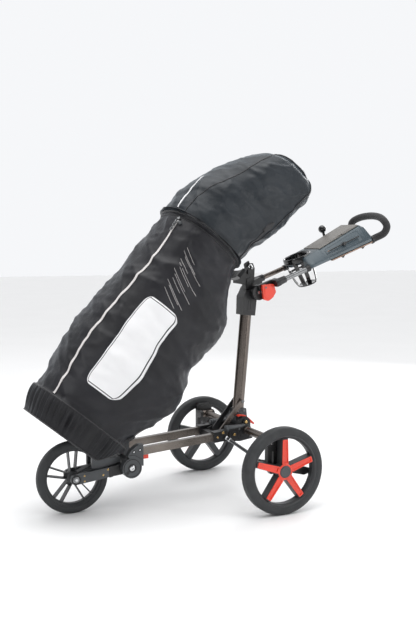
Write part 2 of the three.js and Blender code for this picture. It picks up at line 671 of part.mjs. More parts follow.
// each row: place up the bag's axis, rear, front, half width
const baseRings = [[-172, 500, 812, 145], [-150, 492, 822, 156]];
const coverRings = [
  [-149.7, 489, 828, 165], [-128, 480, 848, 176], [-63, 463, 855, 183], [6, 424, 872, 190],
  [70, 395, 880, 195], [125, 402, 880, 196], [190, 430, 876, 194], [250, 434, 872, 189],
  [290, 427, 868, 187], [341, 410, 866, 185], [400, 417, 864, 182], [440, 440, 862, 179],
  [494, 483, 860, 175], [552, 520, 856, 168], [600, 530, 856, 162],
];
const hoodRings = [
  [600.3, 530, 858, 162], [683, 517, 862, 155], [745, 488, 852, 150], [814, 465, 822, 146],
  [880, 457, 790, 140], [930, 448, 762, 130], [968, 442, 735, 120], [1005, 448, 706, 106],
  [1024, 470, 676, 88], [1036, 520, 630, 50],
];

/** The cover's skirt: a thin wall that hangs round the bag's foot and is cut away behind. */
function coverSkirt() {
  const wall = 8;
  const foot = [-213, 486, 822, 165];
  const top = [-150.2, 480, 845, 176];
  const inset = ([up, rear, front, halfWidth], spare) =>
    [up + spare, rear + wall, front - wall, halfWidth - wall];
  const outside = loft([foot, top].map(bagRing));
  const inside = loft([inset(foot, -1), inset(top, 1)].map(bagRing));
  const behind = [onBag(-230, 380), onBag(-230, 560), onBag(-140, 530), onBag(-140, 380)];
  return outside.subtract(inside).subtract(plate(behind, -200, 200));
}

piece('bag_base', loft(baseRings.map(bagRing)), blackPlastic);
piece('rain_cover', loft(coverRings.map(bagRing)), coverCloth);
piece('cover_skirt', coverSkirt(), coverCloth);
piece('rain_hood', loft(hoodRings.map(bagRing)), hoodCloth);

// ---------- origin at the centre of the bounding box's base ----------
const box = new THREE.Box3().setFromObject(trolley, true);
trolley.position.set(0, -(box.min.y + box.max.y) / 2, -box.min.z);

const group = new THREE.Group();
group.add(trolley);
export default group;
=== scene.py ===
"""Golf push trolley with a covered bag. Lengths are in millimetres until a mesh is made."""

import math

import bmesh
import bpy
import numpy as np
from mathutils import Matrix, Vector, noise
from mathutils.bvhtree import BVHTree


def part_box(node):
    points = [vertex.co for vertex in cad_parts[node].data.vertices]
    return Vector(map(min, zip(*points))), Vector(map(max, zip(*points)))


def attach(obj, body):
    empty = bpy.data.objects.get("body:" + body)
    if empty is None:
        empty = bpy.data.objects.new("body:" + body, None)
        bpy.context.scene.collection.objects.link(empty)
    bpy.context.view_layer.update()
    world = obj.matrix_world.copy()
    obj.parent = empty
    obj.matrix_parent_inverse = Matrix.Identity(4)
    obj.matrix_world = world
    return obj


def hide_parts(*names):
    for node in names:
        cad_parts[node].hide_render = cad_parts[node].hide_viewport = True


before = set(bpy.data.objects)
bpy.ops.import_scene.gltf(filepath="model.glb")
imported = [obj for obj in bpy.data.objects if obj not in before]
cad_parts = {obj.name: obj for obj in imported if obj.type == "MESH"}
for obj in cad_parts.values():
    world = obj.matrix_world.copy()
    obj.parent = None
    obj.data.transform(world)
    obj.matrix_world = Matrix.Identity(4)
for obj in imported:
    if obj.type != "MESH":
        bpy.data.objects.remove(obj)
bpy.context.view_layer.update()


def middle(node):
    low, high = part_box(node)
    return (low + high) / 2


REAR_AXLE_Y = middle("left_tyre").y  # metres; every other place is told from the rear axle, in mm
SIDES = ((1, "left"), (-1, "right"))


# ---------------------------------------------------------------- camera, light and floor
def place(x, y, z):
    """A place in mm from the ground under the rear axle, as metres in the row frame."""
    return Vector((x / 1000, y / 1000 + REAR_AXLE_Y, z / 1000))


def look(obj, target):
    obj.rotation_euler = (target - obj.location).to_track_quat("-Z", "Y").to_euler()


def make_camera():
    data = bpy.data.cameras.new("camera")
    data.lens, data.sensor_fit, data.sensor_height = 50, "VERTICAL", 36
    data.clip_end = 60
    cam = bpy.data.objects.new("camera", data)
    bpy.context.collection.objects.link(cam)
    cam.location = place(2733, -1417, 890)
    look(cam, place(0, -123.4, 648.8))
    bpy.context.scene.camera = cam


def softbox(name, where, target, wide, high, watts, colour=(1, 1, 1)):
    data = bpy.data.lights.new(name, "AREA")
    data.shape, data.size, data.size_y = "RECTANGLE", wide, high
    data.energy, data.color = watts, colour
    lamp = bpy.data.objects.new(name, data)
    bpy.context.collection.objects.link(lamp)
    lamp.location = Vector(where)
    look(lamp, Vector(target))


def make_studio():
    scene = bpy.context.scene
    scene.view_settings.view_transform = "Standard"
    scene.view_settings.look = "None"
    world = bpy.data.worlds.new("studio")
    scene.world = world
    world.use_nodes = True
    tree = world.node_tree
    back = tree.nodes["Background"]
    back.inputs["Color"].default_value = (0.97, 0.98, 1.0, 1)
    # the room is bright behind the trolley and dim on the near side
    ray = tree.nodes.new("ShaderNodeTexCoord")
    facing = tree.nodes.new("ShaderNodeVectorMath")
    facing.operation = "DOT_PRODUCT"
    facing.inputs[1].default_value = (-0.9, 0.43, 0.0)
    tree.links.new(ray.outputs["Generated"], facing.inputs[0])
    level = tree.nodes.new("ShaderNodeMapRange")
    level.inputs["From Min"].default_value = -0.5
    level.inputs["From Max"].default_value = 0.7
    level.inputs["To Min"].default_value = 0.22
    level.inputs["To Max"].default_value = 0.95
    tree.links.new(facing.outputs["Value"], level.inputs["Value"])
    tree.links.new(level.outputs["Result"], back.inputs["Strength"])
    softbox("top", (0.4, -0.3, 3.0), (0, -0.1, 0.6), 2.6, 2.6, 34)
    softbox("key", (1.6, -3.0, 2.2), (0, -0.2, 0.7), 1.6, 2.0, 34)
    softbox("strip", (3.0, 2.4, 1.5), (0, 0, 0.6), 0.7, 2.6, 34)
    softbox("rim", (-1.6, 2.6, 1.8), (0, 0, 0.8), 0.9, 2.4, 34)

    data = bpy.data.lights.new("sky", "SUN")
    data.energy, data.angle = 1.3, math.radians(70)
    sky = bpy.data.objects.new("sky", data)
    bpy.context.collection.objects.link(sky)

    mesh = bpy.data.meshes.new("floor")
    grid = bmesh.new()
    bmesh.ops.create_grid(grid, x_segments=2, y_segments=2, size=20)
    grid.to_mesh(mesh)
    grid.free()
    floor = bpy.data.objects.new("floor", mesh)
    bpy.context.collection.objects.link(floor)
    floor.location.z = -0.0006
    floor.data.materials.append(finish(
        "floor_paint", (0.88, 0.88, 0.88), 0.7, vary=0.01, grain=(60, 0.01), patches=2, rough_vary=0.02))


# ---------------------------------------------------------------- materials
def nodes_of(name):
    mat = bpy.data.materials.new(name)
    mat.use_nodes = True
    tree = mat.node_tree
    return mat, tree, tree.nodes["Principled BSDF"]


def object_space(tree, stretch=(1, 1, 1)):
    """Object coordinates, closer together along the axes with a larger stretch."""
    source = tree.nodes.new("ShaderNodeTexCoord")
    mapping = tree.nodes.new("ShaderNodeMapping")
    mapping.inputs["Scale"].default_value = stretch
    tree.links.new(source.outputs["Object"], mapping.inputs["Vector"])
    return mapping.outputs["Vector"]


def mottle(tree, vector, scale, detail=3.0):
    tex = tree.nodes.new("ShaderNodeTexNoise")
    tex.inputs["Scale"].default_value = scale
    tex.inputs["Detail"].default_value = detail
    tree.links.new(vector, tex.inputs["Vector"])
    return tex.outputs["Fac"]


def ramp(tree, factor, low, high, start=0.3, end=0.7):
    node = tree.nodes.new("ShaderNodeValToRGB")
    first, last = node.color_ramp.elements
    first.position, first.color = start, (*low, 1)
    last.position, last.color = end, (*high, 1)
    tree.links.new(factor, node.inputs["Fac"])
    return node.outputs["Color"]


def between(tree, factor, low, high):
    node = tree.nodes.new("ShaderNodeMapRange")
    node.inputs["From Min"].default_value = 0.3
    node.inputs["From Max"].default_value = 0.7
    node.inputs["To Min"].default_value = low
    node.inputs["To Max"].default_value = high
    tree.links.new(factor, node.inputs["Value"])
    return node.outputs["Result"]


def bump(tree, height, strength, depth=0.0004, under=None):
    node = tree.nodes.new("ShaderNodeBump")
    node.inputs["Strength"].default_value = strength
    node.inputs["Distance"].default_value = depth
    tree.links.new(height, node.inputs["Height"])
    if under is not None:
        tree.links.new(under, node.inputs["Normal"])
    return node.outputs["Normal"]


def finish(name, colour, roughness, metallic=0.0, vary=0.12, grain=(900, 0.15),
           stretch=(1, 1, 1), patches=14, coat=0.0, sheen=0.0, rough_vary=0.08):
    """A painted, moulded or metal surface: uneven colour and gloss, and a fine grain."""
    mat, tree, shader = nodes_of(name)
    shader.inputs["Metallic"].default_value = metallic
    shader.inputs["Coat Weight"].default_value = coat
    shader.inputs["Sheen Weight"].default_value = sheen
    even = object_space(tree)
    drawn = object_space(tree, stretch)
    cloud = mottle(tree, even, patches, 4)
    low = tuple(c * (1 - vary) for c in colour)
    high = tuple(min(1, c * (1 + vary)) for c in colour)
    tree.links.new(ramp(tree, cloud, low, high), shader.inputs["Base Color"])
    fine = mottle(tree, drawn, grain[0], 2)
    tree.links.new(between(tree, fine, max(0.04, roughness - rough_vary), roughness + rough_vary),
                   shader.inputs["Roughness"])
    tree.links.new(bump(tree, fine, grain[1]), shader.inputs["Normal"])
    return mat


def weave(name, colour, high, roughness, threads=1100, sheen=0.25, tint=(0.5, 0.6, 0.7)):
    """A tight plain weave: two sets of threads, a slow change of shade, and a low silky sheen."""
    mat, tree, shader = nodes_of(name)
    shader.inputs["Sheen Weight"].default_value = sheen
    shader.inputs["Sheen Roughness"].default_value = 0.35
    shader.inputs["Sheen Tint"].default_value = (*tint, 1)
    shader.inputs["Specular IOR Level"].default_value = 0.3
    space = object_space(tree)
    tree.links.new(ramp(tree, mottle(tree, space, 7, 5), colour, high), shader.inputs["Base Color"])
    height = None
    for turn in ((0.0, 0.68, 0.0), (0.0, 0.68, math.pi / 2)):
        mapping = tree.nodes.new("ShaderNodeMapping")
        mapping.inputs["Rotation"].default_value = turn
        tree.links.new(space, mapping.inputs["Vector"])
        wave = tree.nodes.new("ShaderNodeTexWave")
        wave.inputs["Scale"].default_value = threads
        wave.inputs["Distortion"].default_value = 0.6
        tree.links.new(mapping.outputs["Vector"], wave.inputs["Vector"])
        height = bump(tree, wave.outputs["Fac"], 0.12, 0.0003, height)
    soft = bump(tree, mottle(tree, space, 38, 4), 0.35, 0.004, height)
    tree.links.new(soft, shader.inputs["Normal"])
    tree.links.new(between(tree, mottle(tree, space, 24, 3), roughness - 0.07, roughness + 0.09),
                   shader.inputs["Roughness"])
    return mat


TITANIUM = finish("titanium_paint", (0.15, 0.128, 0.114), 0.25, 0.9, 0.1, (260, 0.12), (1, 1, 9))
RAIL_METAL = finish("rail_metal", (0.19, 0.168, 0.15), 0.28, 0.9, 0.1, (260, 0.12), (9, 1, 9))
SLATE = finish("slate_paint", (0.07, 0.075, 0.08), 0.42, 0.15, 0.12, (1500, 0.3))
BLACK = finish("black_plastic", (0.013, 0.013, 0.014), 0.4, 0.0, 0.25, (1400, 0.35))
GLOSS = finish("gloss_black", (0.008, 0.008, 0.009), 0.16, 0.0, 0.2, (300, 0.03), coat=0.5)
RED = finish("red_plastic", (0.80, 0.05, 0.02), 0.33, 0.0, 0.08, (1200, 0.12), coat=0.3)
# the red plastic made darker: painted shade for the walls of the spoke recesses
RED_PAINTED_SHADE = finish("red_plastic_painted_shade", (0.32, 0.004, 0.006), 0.4, 0.0, 0.12, (1200, 0.12), coat=0.2)
RIM = finish("rim_plastic", (0.035, 0.037, 0.04), 0.45, 0.0, 0.15, (1500, 0.3))
CHROME = finish("steel", (0.62, 0.63, 0.64), 0.14, 1.0, 0.06, (500, 0.06))
SATIN = finish("satin_steel", (0.22, 0.225, 0.23), 0.3, 1.0, 0.1, (500, 0.12))
BRASS = finish("brass", (0.62, 0.42, 0.17), 0.25, 1.0, 0.1, (600, 0.1))
GRIP = finish("grip_foam", (0.022, 0.022, 0.023), 0.86, 0.0, 0.25, (1900, 0.8), sheen=0.15)
TYRE = finish("tyre_foam", (0.028, 0.03, 0.032), 0.62, 0.0, 0.22, (1700, 0.55), patches=30)
LID = finish("lid_plastic", (0.165, 0.155, 0.142), 0.46, 0.05, 0.06, (2200, 0.45))
CONSOLE = finish("console_plastic", (0.062, 0.085, 0.1), 0.32, 0.1, 0.1, (1500, 0.2))
BRONZE = finish("bronze_trim", (0.2, 0.14, 0.11), 0.3, 0.9, 0.12, (400, 0.15))
TRIM = finish("piping", (0.012, 0.012, 0.014), 0.5, 0.0, 0.2, (1500, 0.4), sheen=0.1)
WHITE = finish("white_print", (0.8, 0.8, 0.81), 0.5, 0.0, 0.03, (1500, 0.25))
PALE_TAPE = finish("zip_tape", (0.66, 0.63, 0.62), 0.55, 0.0, 0.06, (2400, 0.6))
COVER = weave("cover_cloth", (0.0105, 0.0105, 0.0125), (0.017, 0.017, 0.021), 0.45, sheen=0.12)
HOOD = weave("hood_cloth", (0.015, 0.0185, 0.0225), (0.023, 0.028, 0.034), 0.38, sheen=0.14,
             tint=(0.4, 0.6, 0.75))
SKIRT = weave("skirt_cloth", (0.009, 0.009, 0.0105), (0.015, 0.015, 0.018), 0.55, sheen=0.1)


# ---------------------------------------------------------------- mesh helpers, all in mm
def joined(parts):
    """One list of vertices, faces and materials from (vertices, faces[, material index]) parts."""
    verts, faces, paints = [], [], []
    for part in parts:
        base = len(verts)
        verts += [tuple(v) for v in part[0]]
        faces += [tuple(base + i for i in face) for face in part[1]]
        paints += [part[2] if len(part) > 2 else 0] * len(part[1])
    return verts, faces, paints


def smooth(mesh, degrees=34):
    mesh.polygons.foreach_set("use_smooth", [True] * len(mesh.polygons))
    mesh.set_sharp_from_angle(angle=math.radians(degrees))


def soften(obj, width, segments=2, degrees=34):
    """Rounds the edges that are sharper than some degrees, width in mm."""
    mod = obj.modifiers.new("rounded", "BEVEL")
    mod.width, mod.segments, mod.limit_method = width / 1000, segments, "ANGLE"
    mod.angle_limit = math.radians(degrees)
    mod.use_clamp_overlap = True
    mod.harden_normals = True


def piece(name, parts, body, paints, replaces=(), bevel=0.0, levels=0, degrees=34):
    """Adds one piece that rides on a body, from mesh parts in mm."""
    verts, faces, which = joined(parts)
    mesh = bpy.data.meshes.new(name)
    mesh.from_pydata([place(*v) for v in verts], [], faces)
    work = bmesh.new()
    work.from_mesh(mesh)
    for face, paint in zip(work.faces, which):
        face.material_index = paint
    bmesh.ops.remove_doubles(work, verts=work.verts, dist=2e-6)
    bmesh.ops.dissolve_degenerate(work, edges=work.edges, dist=1e-7)
    bmesh.ops.recalc_face_normals(work, faces=work.faces)
    work.to_mesh(mesh)
    work.free()
    smooth(mesh, degrees)
    obj = bpy.data.objects.new(name, mesh)
    bpy.context.collection.objects.link(obj)
    for paint in paints if isinstance(paints, (list, tuple)) else [paints]:
        mesh.materials.append(paint)
    if bevel:
        soften(obj, bevel, 2, degrees)
    if levels:
        mod = obj.modifiers.new("finer", "SUBSURF")
        mod.levels = mod.render_levels = levels
    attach(obj, body)
    if replaces:
        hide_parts(*([replaces] if isinstance(replaces, str) else replaces))
    return obj


def axes(direction):
    """Three square unit vectors, the first along a direction."""
    a = Vector(direction).normalized()
    side = Vector((0, 0, 1)) if abs(a.z) < 0.9 else Vector((0, 1, 0))
    u = side.cross(a).normalized()
    return a, u, a.cross(u)


def lathe(profile, centre, axis=(1, 0, 0), steps=48, loop=True):
    """(along, radius) pairs turned about an axis. A loop joins the last pair to the first."""
    a, u, v = axes(axis)
    middle_point = Vector(centre)
    verts, faces, count = [], [], len(profile)
    for k in range(steps):
        turn = 2 * math.pi * k / steps
        out = u * math.cos(turn) + v * math.sin(turn)
        verts += [middle_point + a * along + out * radius for along, radius in profile]
    for k in range(steps):
        here, there = k * count, (k + 1) % steps * count
        for i in range(count if loop else count - 1):
            j = (i + 1) % count
            faces.append((here + i, here + j, there + j, there + i))
    return verts, faces


def turned(outline, centre, axis=(1, 0, 0), steps=32):
    """A solid of revolution: its outline runs from the axis out and back to the axis."""
    return lathe(outline, centre, axis, steps, loop=False)


def disc(start, end, radius, centre, axis=(1, 0, 0), edge=1.0, steps=32):
    """A round boss with chamfered edges."""
    rim = min(edge, (end - start) / 3)
    return turned([(start, 0), (start, radius - rim), (start + rim, radius), (end - rim, radius),
                   (end, radius - rim), (end, 0)], centre, axis, steps)


def smooth_path(points, per=8, closed=False):
    """A Catmull-Rom curve through points."""
    pts = [Vector(p) for p in points]
    count = len(pts)
    out = []
    for i in range(count if closed else count - 1):
        if closed:
            p0, p1, p2, p3 = (pts[(i + k) % count] for k in (-1, 0, 1, 2))
        else:
            p1, p2 = pts[i], pts[i + 1]
            p0 = pts[i - 1] if i else p1 * 2 - p2
            p3 = pts[i + 2] if i + 2 < count else p2 * 2 - p1
        for k in range(per):
            t = k / per
            out.append(0.5 * ((2 * p1) + (p2 - p0) * t + (2 * p0 - 5 * p1 + 4 * p2 - p3) * t * t
                              + (3 * p1 - p0 - 3 * p2 + p3) * t ** 3))
    return out if closed else out + [pts[-1]]


def sweep(path, section, closed=False, cap=True, up=None):
    """A section of (side, up) pairs, or a function of the share of the way, swept along a path."""
    pts = [Vector(p) for p in path]
    count = len(pts)
    verts, faces = [], []
    side = None
    size = len(section(0.0) if callable(section) else section)
    for i, point in enumerate(pts):
        if closed:
            ahead = pts[(i + 1) % count] - pts[i - 1]
        else:
            ahead = pts[min(i + 1, count - 1)] - pts[max(i - 1, 0)]
        ahead.normalize()
        if up is not None:
            side = ahead.cross(Vector(up)).normalized()
        elif side is None:
            side = axes(ahead)[1]
        side = (side - ahead * side.dot(ahead)).normalized()
        over = side.cross(ahead)
        shape = section(i / max(1, count - 1)) if callable(section) else section
        verts += [point + side * s + over * t for s, t in shape]
    for i in range(count if closed else count - 1):
        here, there = i * size, (i + 1) % count * size
        for k in range(size):
            n = (k + 1) % size
            faces.append((here + k, here + n, there + n, there + k))
    if cap and not closed:
        faces.append(tuple(range(size)))
        faces.append(tuple(reversed(range((count - 1) * size, count * size))))
    return verts, faces


def circle(radius, sides=16, wide=1.0):
    return [(radius * wide * math.cos(2 * math.pi * k / sides),
             radius * math.sin(2 * math.pi * k / sides)) for k in range(sides)]


def tube(path, radius, sides=16, closed=False):
    return sweep(path, circle(radius, sides), closed)


def prism(outline, low, high):
    """A Y, Z outline made solid from X = low to X = high."""
    count = len(outline)
    verts = [(low, *p) for p in outline] + [(high, *p) for p in outline]
    faces = [tuple(range(count)), tuple(range(2 * count - 1, count - 1, -1))]
    faces += [(i, (i + 1) % count, count + (i + 1) % count, count + i) for i in range(count)]
    return verts, faces


def slab(low, high):
    """A box from one corner to the other; its piece gives it rounded edges."""
    (x0, y0, z0), (x1, y1, z1) = low, high
    return prism([(y0, z0), (y1, z0), (y1, z1), (y0, z1)], x0, x1)


def moved(part, change):
    """A part with a function of each vertex applied."""
    return ([change(*v) for v in part[0]], *part[1:])


def painted(part, index):
    return part[0], part[1], index


def rounded(corners, radius, steps=5):
    """A closed outline with its corners turned into arcs."""
    pts = [Vector(c) for c in corners]
    out = []
    for i, corner in enumerate(pts):
        before, after = pts[i - 1] - corner, pts[(i + 1) % len(pts)] - corner
        near = min(radius, before.length * 0.48, after.length * 0.48)
        a, b = corner + before.normalized() * near, corner + after.normalized() * near
        for k in range(steps + 1):
            t = k / steps
            out.append(tuple(a * (1 - t) ** 2 + corner * 2 * t * (1 - t) + b * t * t))
    return out


def screw(centre, axis, radius=4.0, height=2.2, paint=0):
    """A socket screw's head standing on a surface, with its recess."""
    return painted(turned([(0, 0), (0, radius), (height * 0.75, radius), (height, radius * 0.8),
                           (height, radius * 0.45), (height * 0.3, radius * 0.42), (height * 0.3, 0)],
                          centre, axis, 18), paint)


# ---------------------------------------------------------------- sizes shared by several pieces
REAR_RADIUS, REAR_RIM, REAR_HALF = 145, 119, 20
HALF_TRACK = 311
SPOKE_FACE, LINER_FACE = 17, 20
FRONT_RADIUS, FRONT_RIM, FRONT_HALF = 120, 97, 17
FRONT_AXLE = (-620, 120)
FORK_PIVOT = (-436, 145)
MAIN_PIVOT = (0, 258)
UPRIGHT_FOOT, UPRIGHT_TOP = (-5, 288), (27, 652)
HANDLE_PIVOT = (53, 715)
HANDLE_TILT = math.radians(20.7)
BAG_TILT = (0.633, 0.774)
CARRIER_X = 250


def rail_z(y):
    """The height of a rail's centre line."""
    return 228.3 + 0.078 * y


def on_handle(x, along, across):
    """A place told along and across the handle from its pivot."""
    c, s = math.cos(HANDLE_TILT), math.sin(HANDLE_TILT)
    return x, HANDLE_PIVOT[0] + along * c - across * s, HANDLE_PIVOT[1] + along * s + across * c


def handle_axis(along, across):
    """A direction told along and across the handle."""
    return Vector(on_handle(0, along, across)) - Vector(on_handle(0, 0, 0))


def on_bag(x, up, out):
    """A place told up the bag's axis and out from the upright."""
    return x, BAG_TILT[0] * up - BAG_TILT[1] * out, BAG_TILT[1] * up + BAG_TILT[0] * out


# ---------------------------------------------------------------- wheels
def spun(part, k, centre, count=5):
    """A wheel-plane part turned to one of its spokes' places and moved to the wheel's centre."""
    turn = 2 * math.pi * k / count
    c, s = math.cos(turn), math.sin(turn)
    return moved(part, lambda x, y, z: (centre[0] + x, centre[1] + y * c - z * s,
                                        centre[2] + y * s + z * c))


def trapezium(low, high, low_half, high_half, radius):
    """A rounded spoke outline in the wheel's plane."""
    return rounded([(-low_half, low), (low_half, low), (high_half, high), (-high_half, high)],
                   radius, 4)


def trough(outer, inner, back, floor, front):
    """A block with a recess in its front face, back to front along X."""
    n = len(outer)
    verts = [(back, *p) for p in outer] + [(front, *p) for p in outer]
    verts += [(front, *p) for p in inner] + [(floor, *p) for p in inner]
    faces = [tuple(range(n))]
    for row in range(3):
        for i in range(n):
            j = (i + 1) % n
            faces.append((row * n + i, row * n + j, (row + 1) * n + j, (row + 1) * n + i))
    return verts, faces + [tuple(range(3 * n, 4 * n))]


def sleeve(outer, inner, back, front):
    """A wall between two outlines, open at both ends, back to front along X."""
    n = len(outer)
    verts = [(x, *p) for x, line in ((back, outer), (front, outer), (front, inner), (back, inner))
             for p in line]
    return verts, [(r * n + i, r * n + (i + 1) % n, (r + 1) % 4 * n + (i + 1) % n, (r + 1) % 4 * n + i)
                   for r in range(4) for i in range(n)]


def tyre(name, body, centre, side, radius, rim_radius, half, node):
    """A foam tyre: a flat tread between deep rounded shoulders, and a bead line on each side."""
    profile = [(-half + 1.5, rim_radius), (-half, rim_radius + 3)]
    for k in range(7):
        turn = math.radians(15 * k)
        profile.append((-half + 8 * (1 - math.cos(turn)), radius - 14 * (1 - math.sin(turn))))
    profile += [(-a, r) for a, r in reversed(profile)]
    parts = [lathe(profile, centre, (side, 0, 0), 96)]
    for face in (-1, 1):
        bead = [(face * (half - 0.6), rim_radius + 4.4), (face * (half + 0.2), rim_radius + 5.2),
                (face * (half - 0.6), rim_radius + 6)]
        parts.append(lathe(bead, centre, (side, 0, 0), 96))
    piece(name, parts, body, TYRE, node)


def rear_wheel(side, word):
    centre = (side * HALF_TRACK, 0, REAR_RADIUS)
    axis = (side, 0, 0)
    body = f"{word}_wheel"
    tyre(f"{word}_wheel_tyre", body, centre, side, REAR_RADIUS, REAR_RIM, REAR_HALF, f"{word}_tyre")

    ring = [(-19, 119), (19, 119), (19.4, 116.5), (17, 113), (12, 111), (11, 108.4), (-11, 108.4),
            (-12, 111), (-17, 113), (-19.4, 116.5)]
    hub = [(-17, 8), (-17, 24), (-15, 26), (15, 26), (17, 24), (17, 20.6), (16, 20), (16, 8)]
    parts = [lathe(ring, centre, axis, 96), lathe(hub, centre, axis, 48)]
    mirror = (lambda x, y, z: (side * x, y, z))
    for k in range(5):
        block = trough(trapezium(22, 110, 12.4, 10.4, 2), trapezium(30, 104, 9.4, 7.2, 2.6),
                       -SPOKE_FACE, 0, SPOKE_FACE)
        parts.append(spun(moved(block, mirror), k, centre))
    piece(f"{word}_wheel_rim", parts, body, RIM, f"{word}_rim", bevel=0.8)

    frames = []
    for k in range(5):
        border = trough(trapezium(25, 106, 11.6, 9.4, 3), trapezium(29.5, 102, 8.4, 6.2, 2.4),
                        SPOKE_FACE - 0.3, SPOKE_FACE - 0.2, LINER_FACE)
        well = prism(trapezium(30, 103, 9.2, 7, 2.4), 0.4, 1.6)
        wall = sleeve(trapezium(29.8, 103.6, 9.3, 7.1, 2.4), trapezium(30.6, 102.6, 8.6, 6.4, 2.2),
                      1.7, SPOKE_FACE - 0.4)
        # in each spoke recess the walls take the darker red and the floor plate is black: painted shade
        # deeper in each spoke window
        for part, index in ((border, 0), (well, 2), (wall, 1)):
            frames.append(painted(spun(moved(part, mirror), k, centre), index))
    frames.append(lathe([(17.2, 20.6), (17.2, 26.4), (19.6, 26.4), (20, 25.6), (20, 20.6)], centre,
                        axis, 48))
    piece(f"{word}_wheel_liners", frames, body, [RED, RED_PAINTED_SHADE, BLACK],
          f"{word}_spoke_liner", bevel=0.5)

    cap = [(17.3, 0), (17.3, 20), (19.6, 20), (20.2, 19.2), (20.8, 19.4), (21.6, 18), (22, 15.5),
           (22, 13.6), (21.2, 12.8), (21.2, 0)]
    piece(f"{word}_wheel_cap", [turned(cap, centre, axis, 48)], body, [SLATE],
          f"{word}_hub_cap")


def front_wheel():
    centre = (0, *FRONT_AXLE)
    axis = (1, 0, 0)
    tyre("front_wheel_tyre", "front_wheel", centre, 1, FRONT_RADIUS, FRONT_RIM, FRONT_HALF,
         "front_tyre")
    ring = [(-14, 97), (14, 97), (14.5, 94.5), (12.5, 91), (9, 89.5), (8, 86.6), (-8, 86.6),
            (-9, 89.5), (-12.5, 91), (-14.5, 94.5)]
    hub = [(-20, 7), (-20, 12), (-16, 13), (-14, 20), (-11, 22), (11, 22), (14, 20), (16, 13),
           (20, 12), (20, 7)]
    parts = [lathe(ring, centre, axis, 96), lathe(hub, centre, axis, 48)]
    for k in range(5):
        for hand in (-1, 1):
            blade = prism([(hand * 8 - 1.8, 14), (hand * 8 + 1.8, 14), (hand * 15.2 + 1.8, 90),
                           (hand * 15.2 - 1.8, 90)], -13.6, 13.6)
            parts.append(spun(blade, k, centre))
        parts.append(spun(prism([(-8, 18), (8, 18), (9, 30), (-9, 30)], -2, 2), k, centre))
    piece("front_wheel_rim", parts, "front_wheel", RIM, "front_rim", bevel=0.8)


def cad_finish(node, paint, bevel=1.2, degrees=34):
    """A CAD node keeps its shape, and gets a better surface and slightly rounded edges."""
    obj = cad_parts[node]
    mesh = obj.data
    mesh.materials.clear()
    mesh.materials.append(paint)
    smooth(mesh, degrees)
    if bevel:
        soften(obj, bevel, 2, degrees)


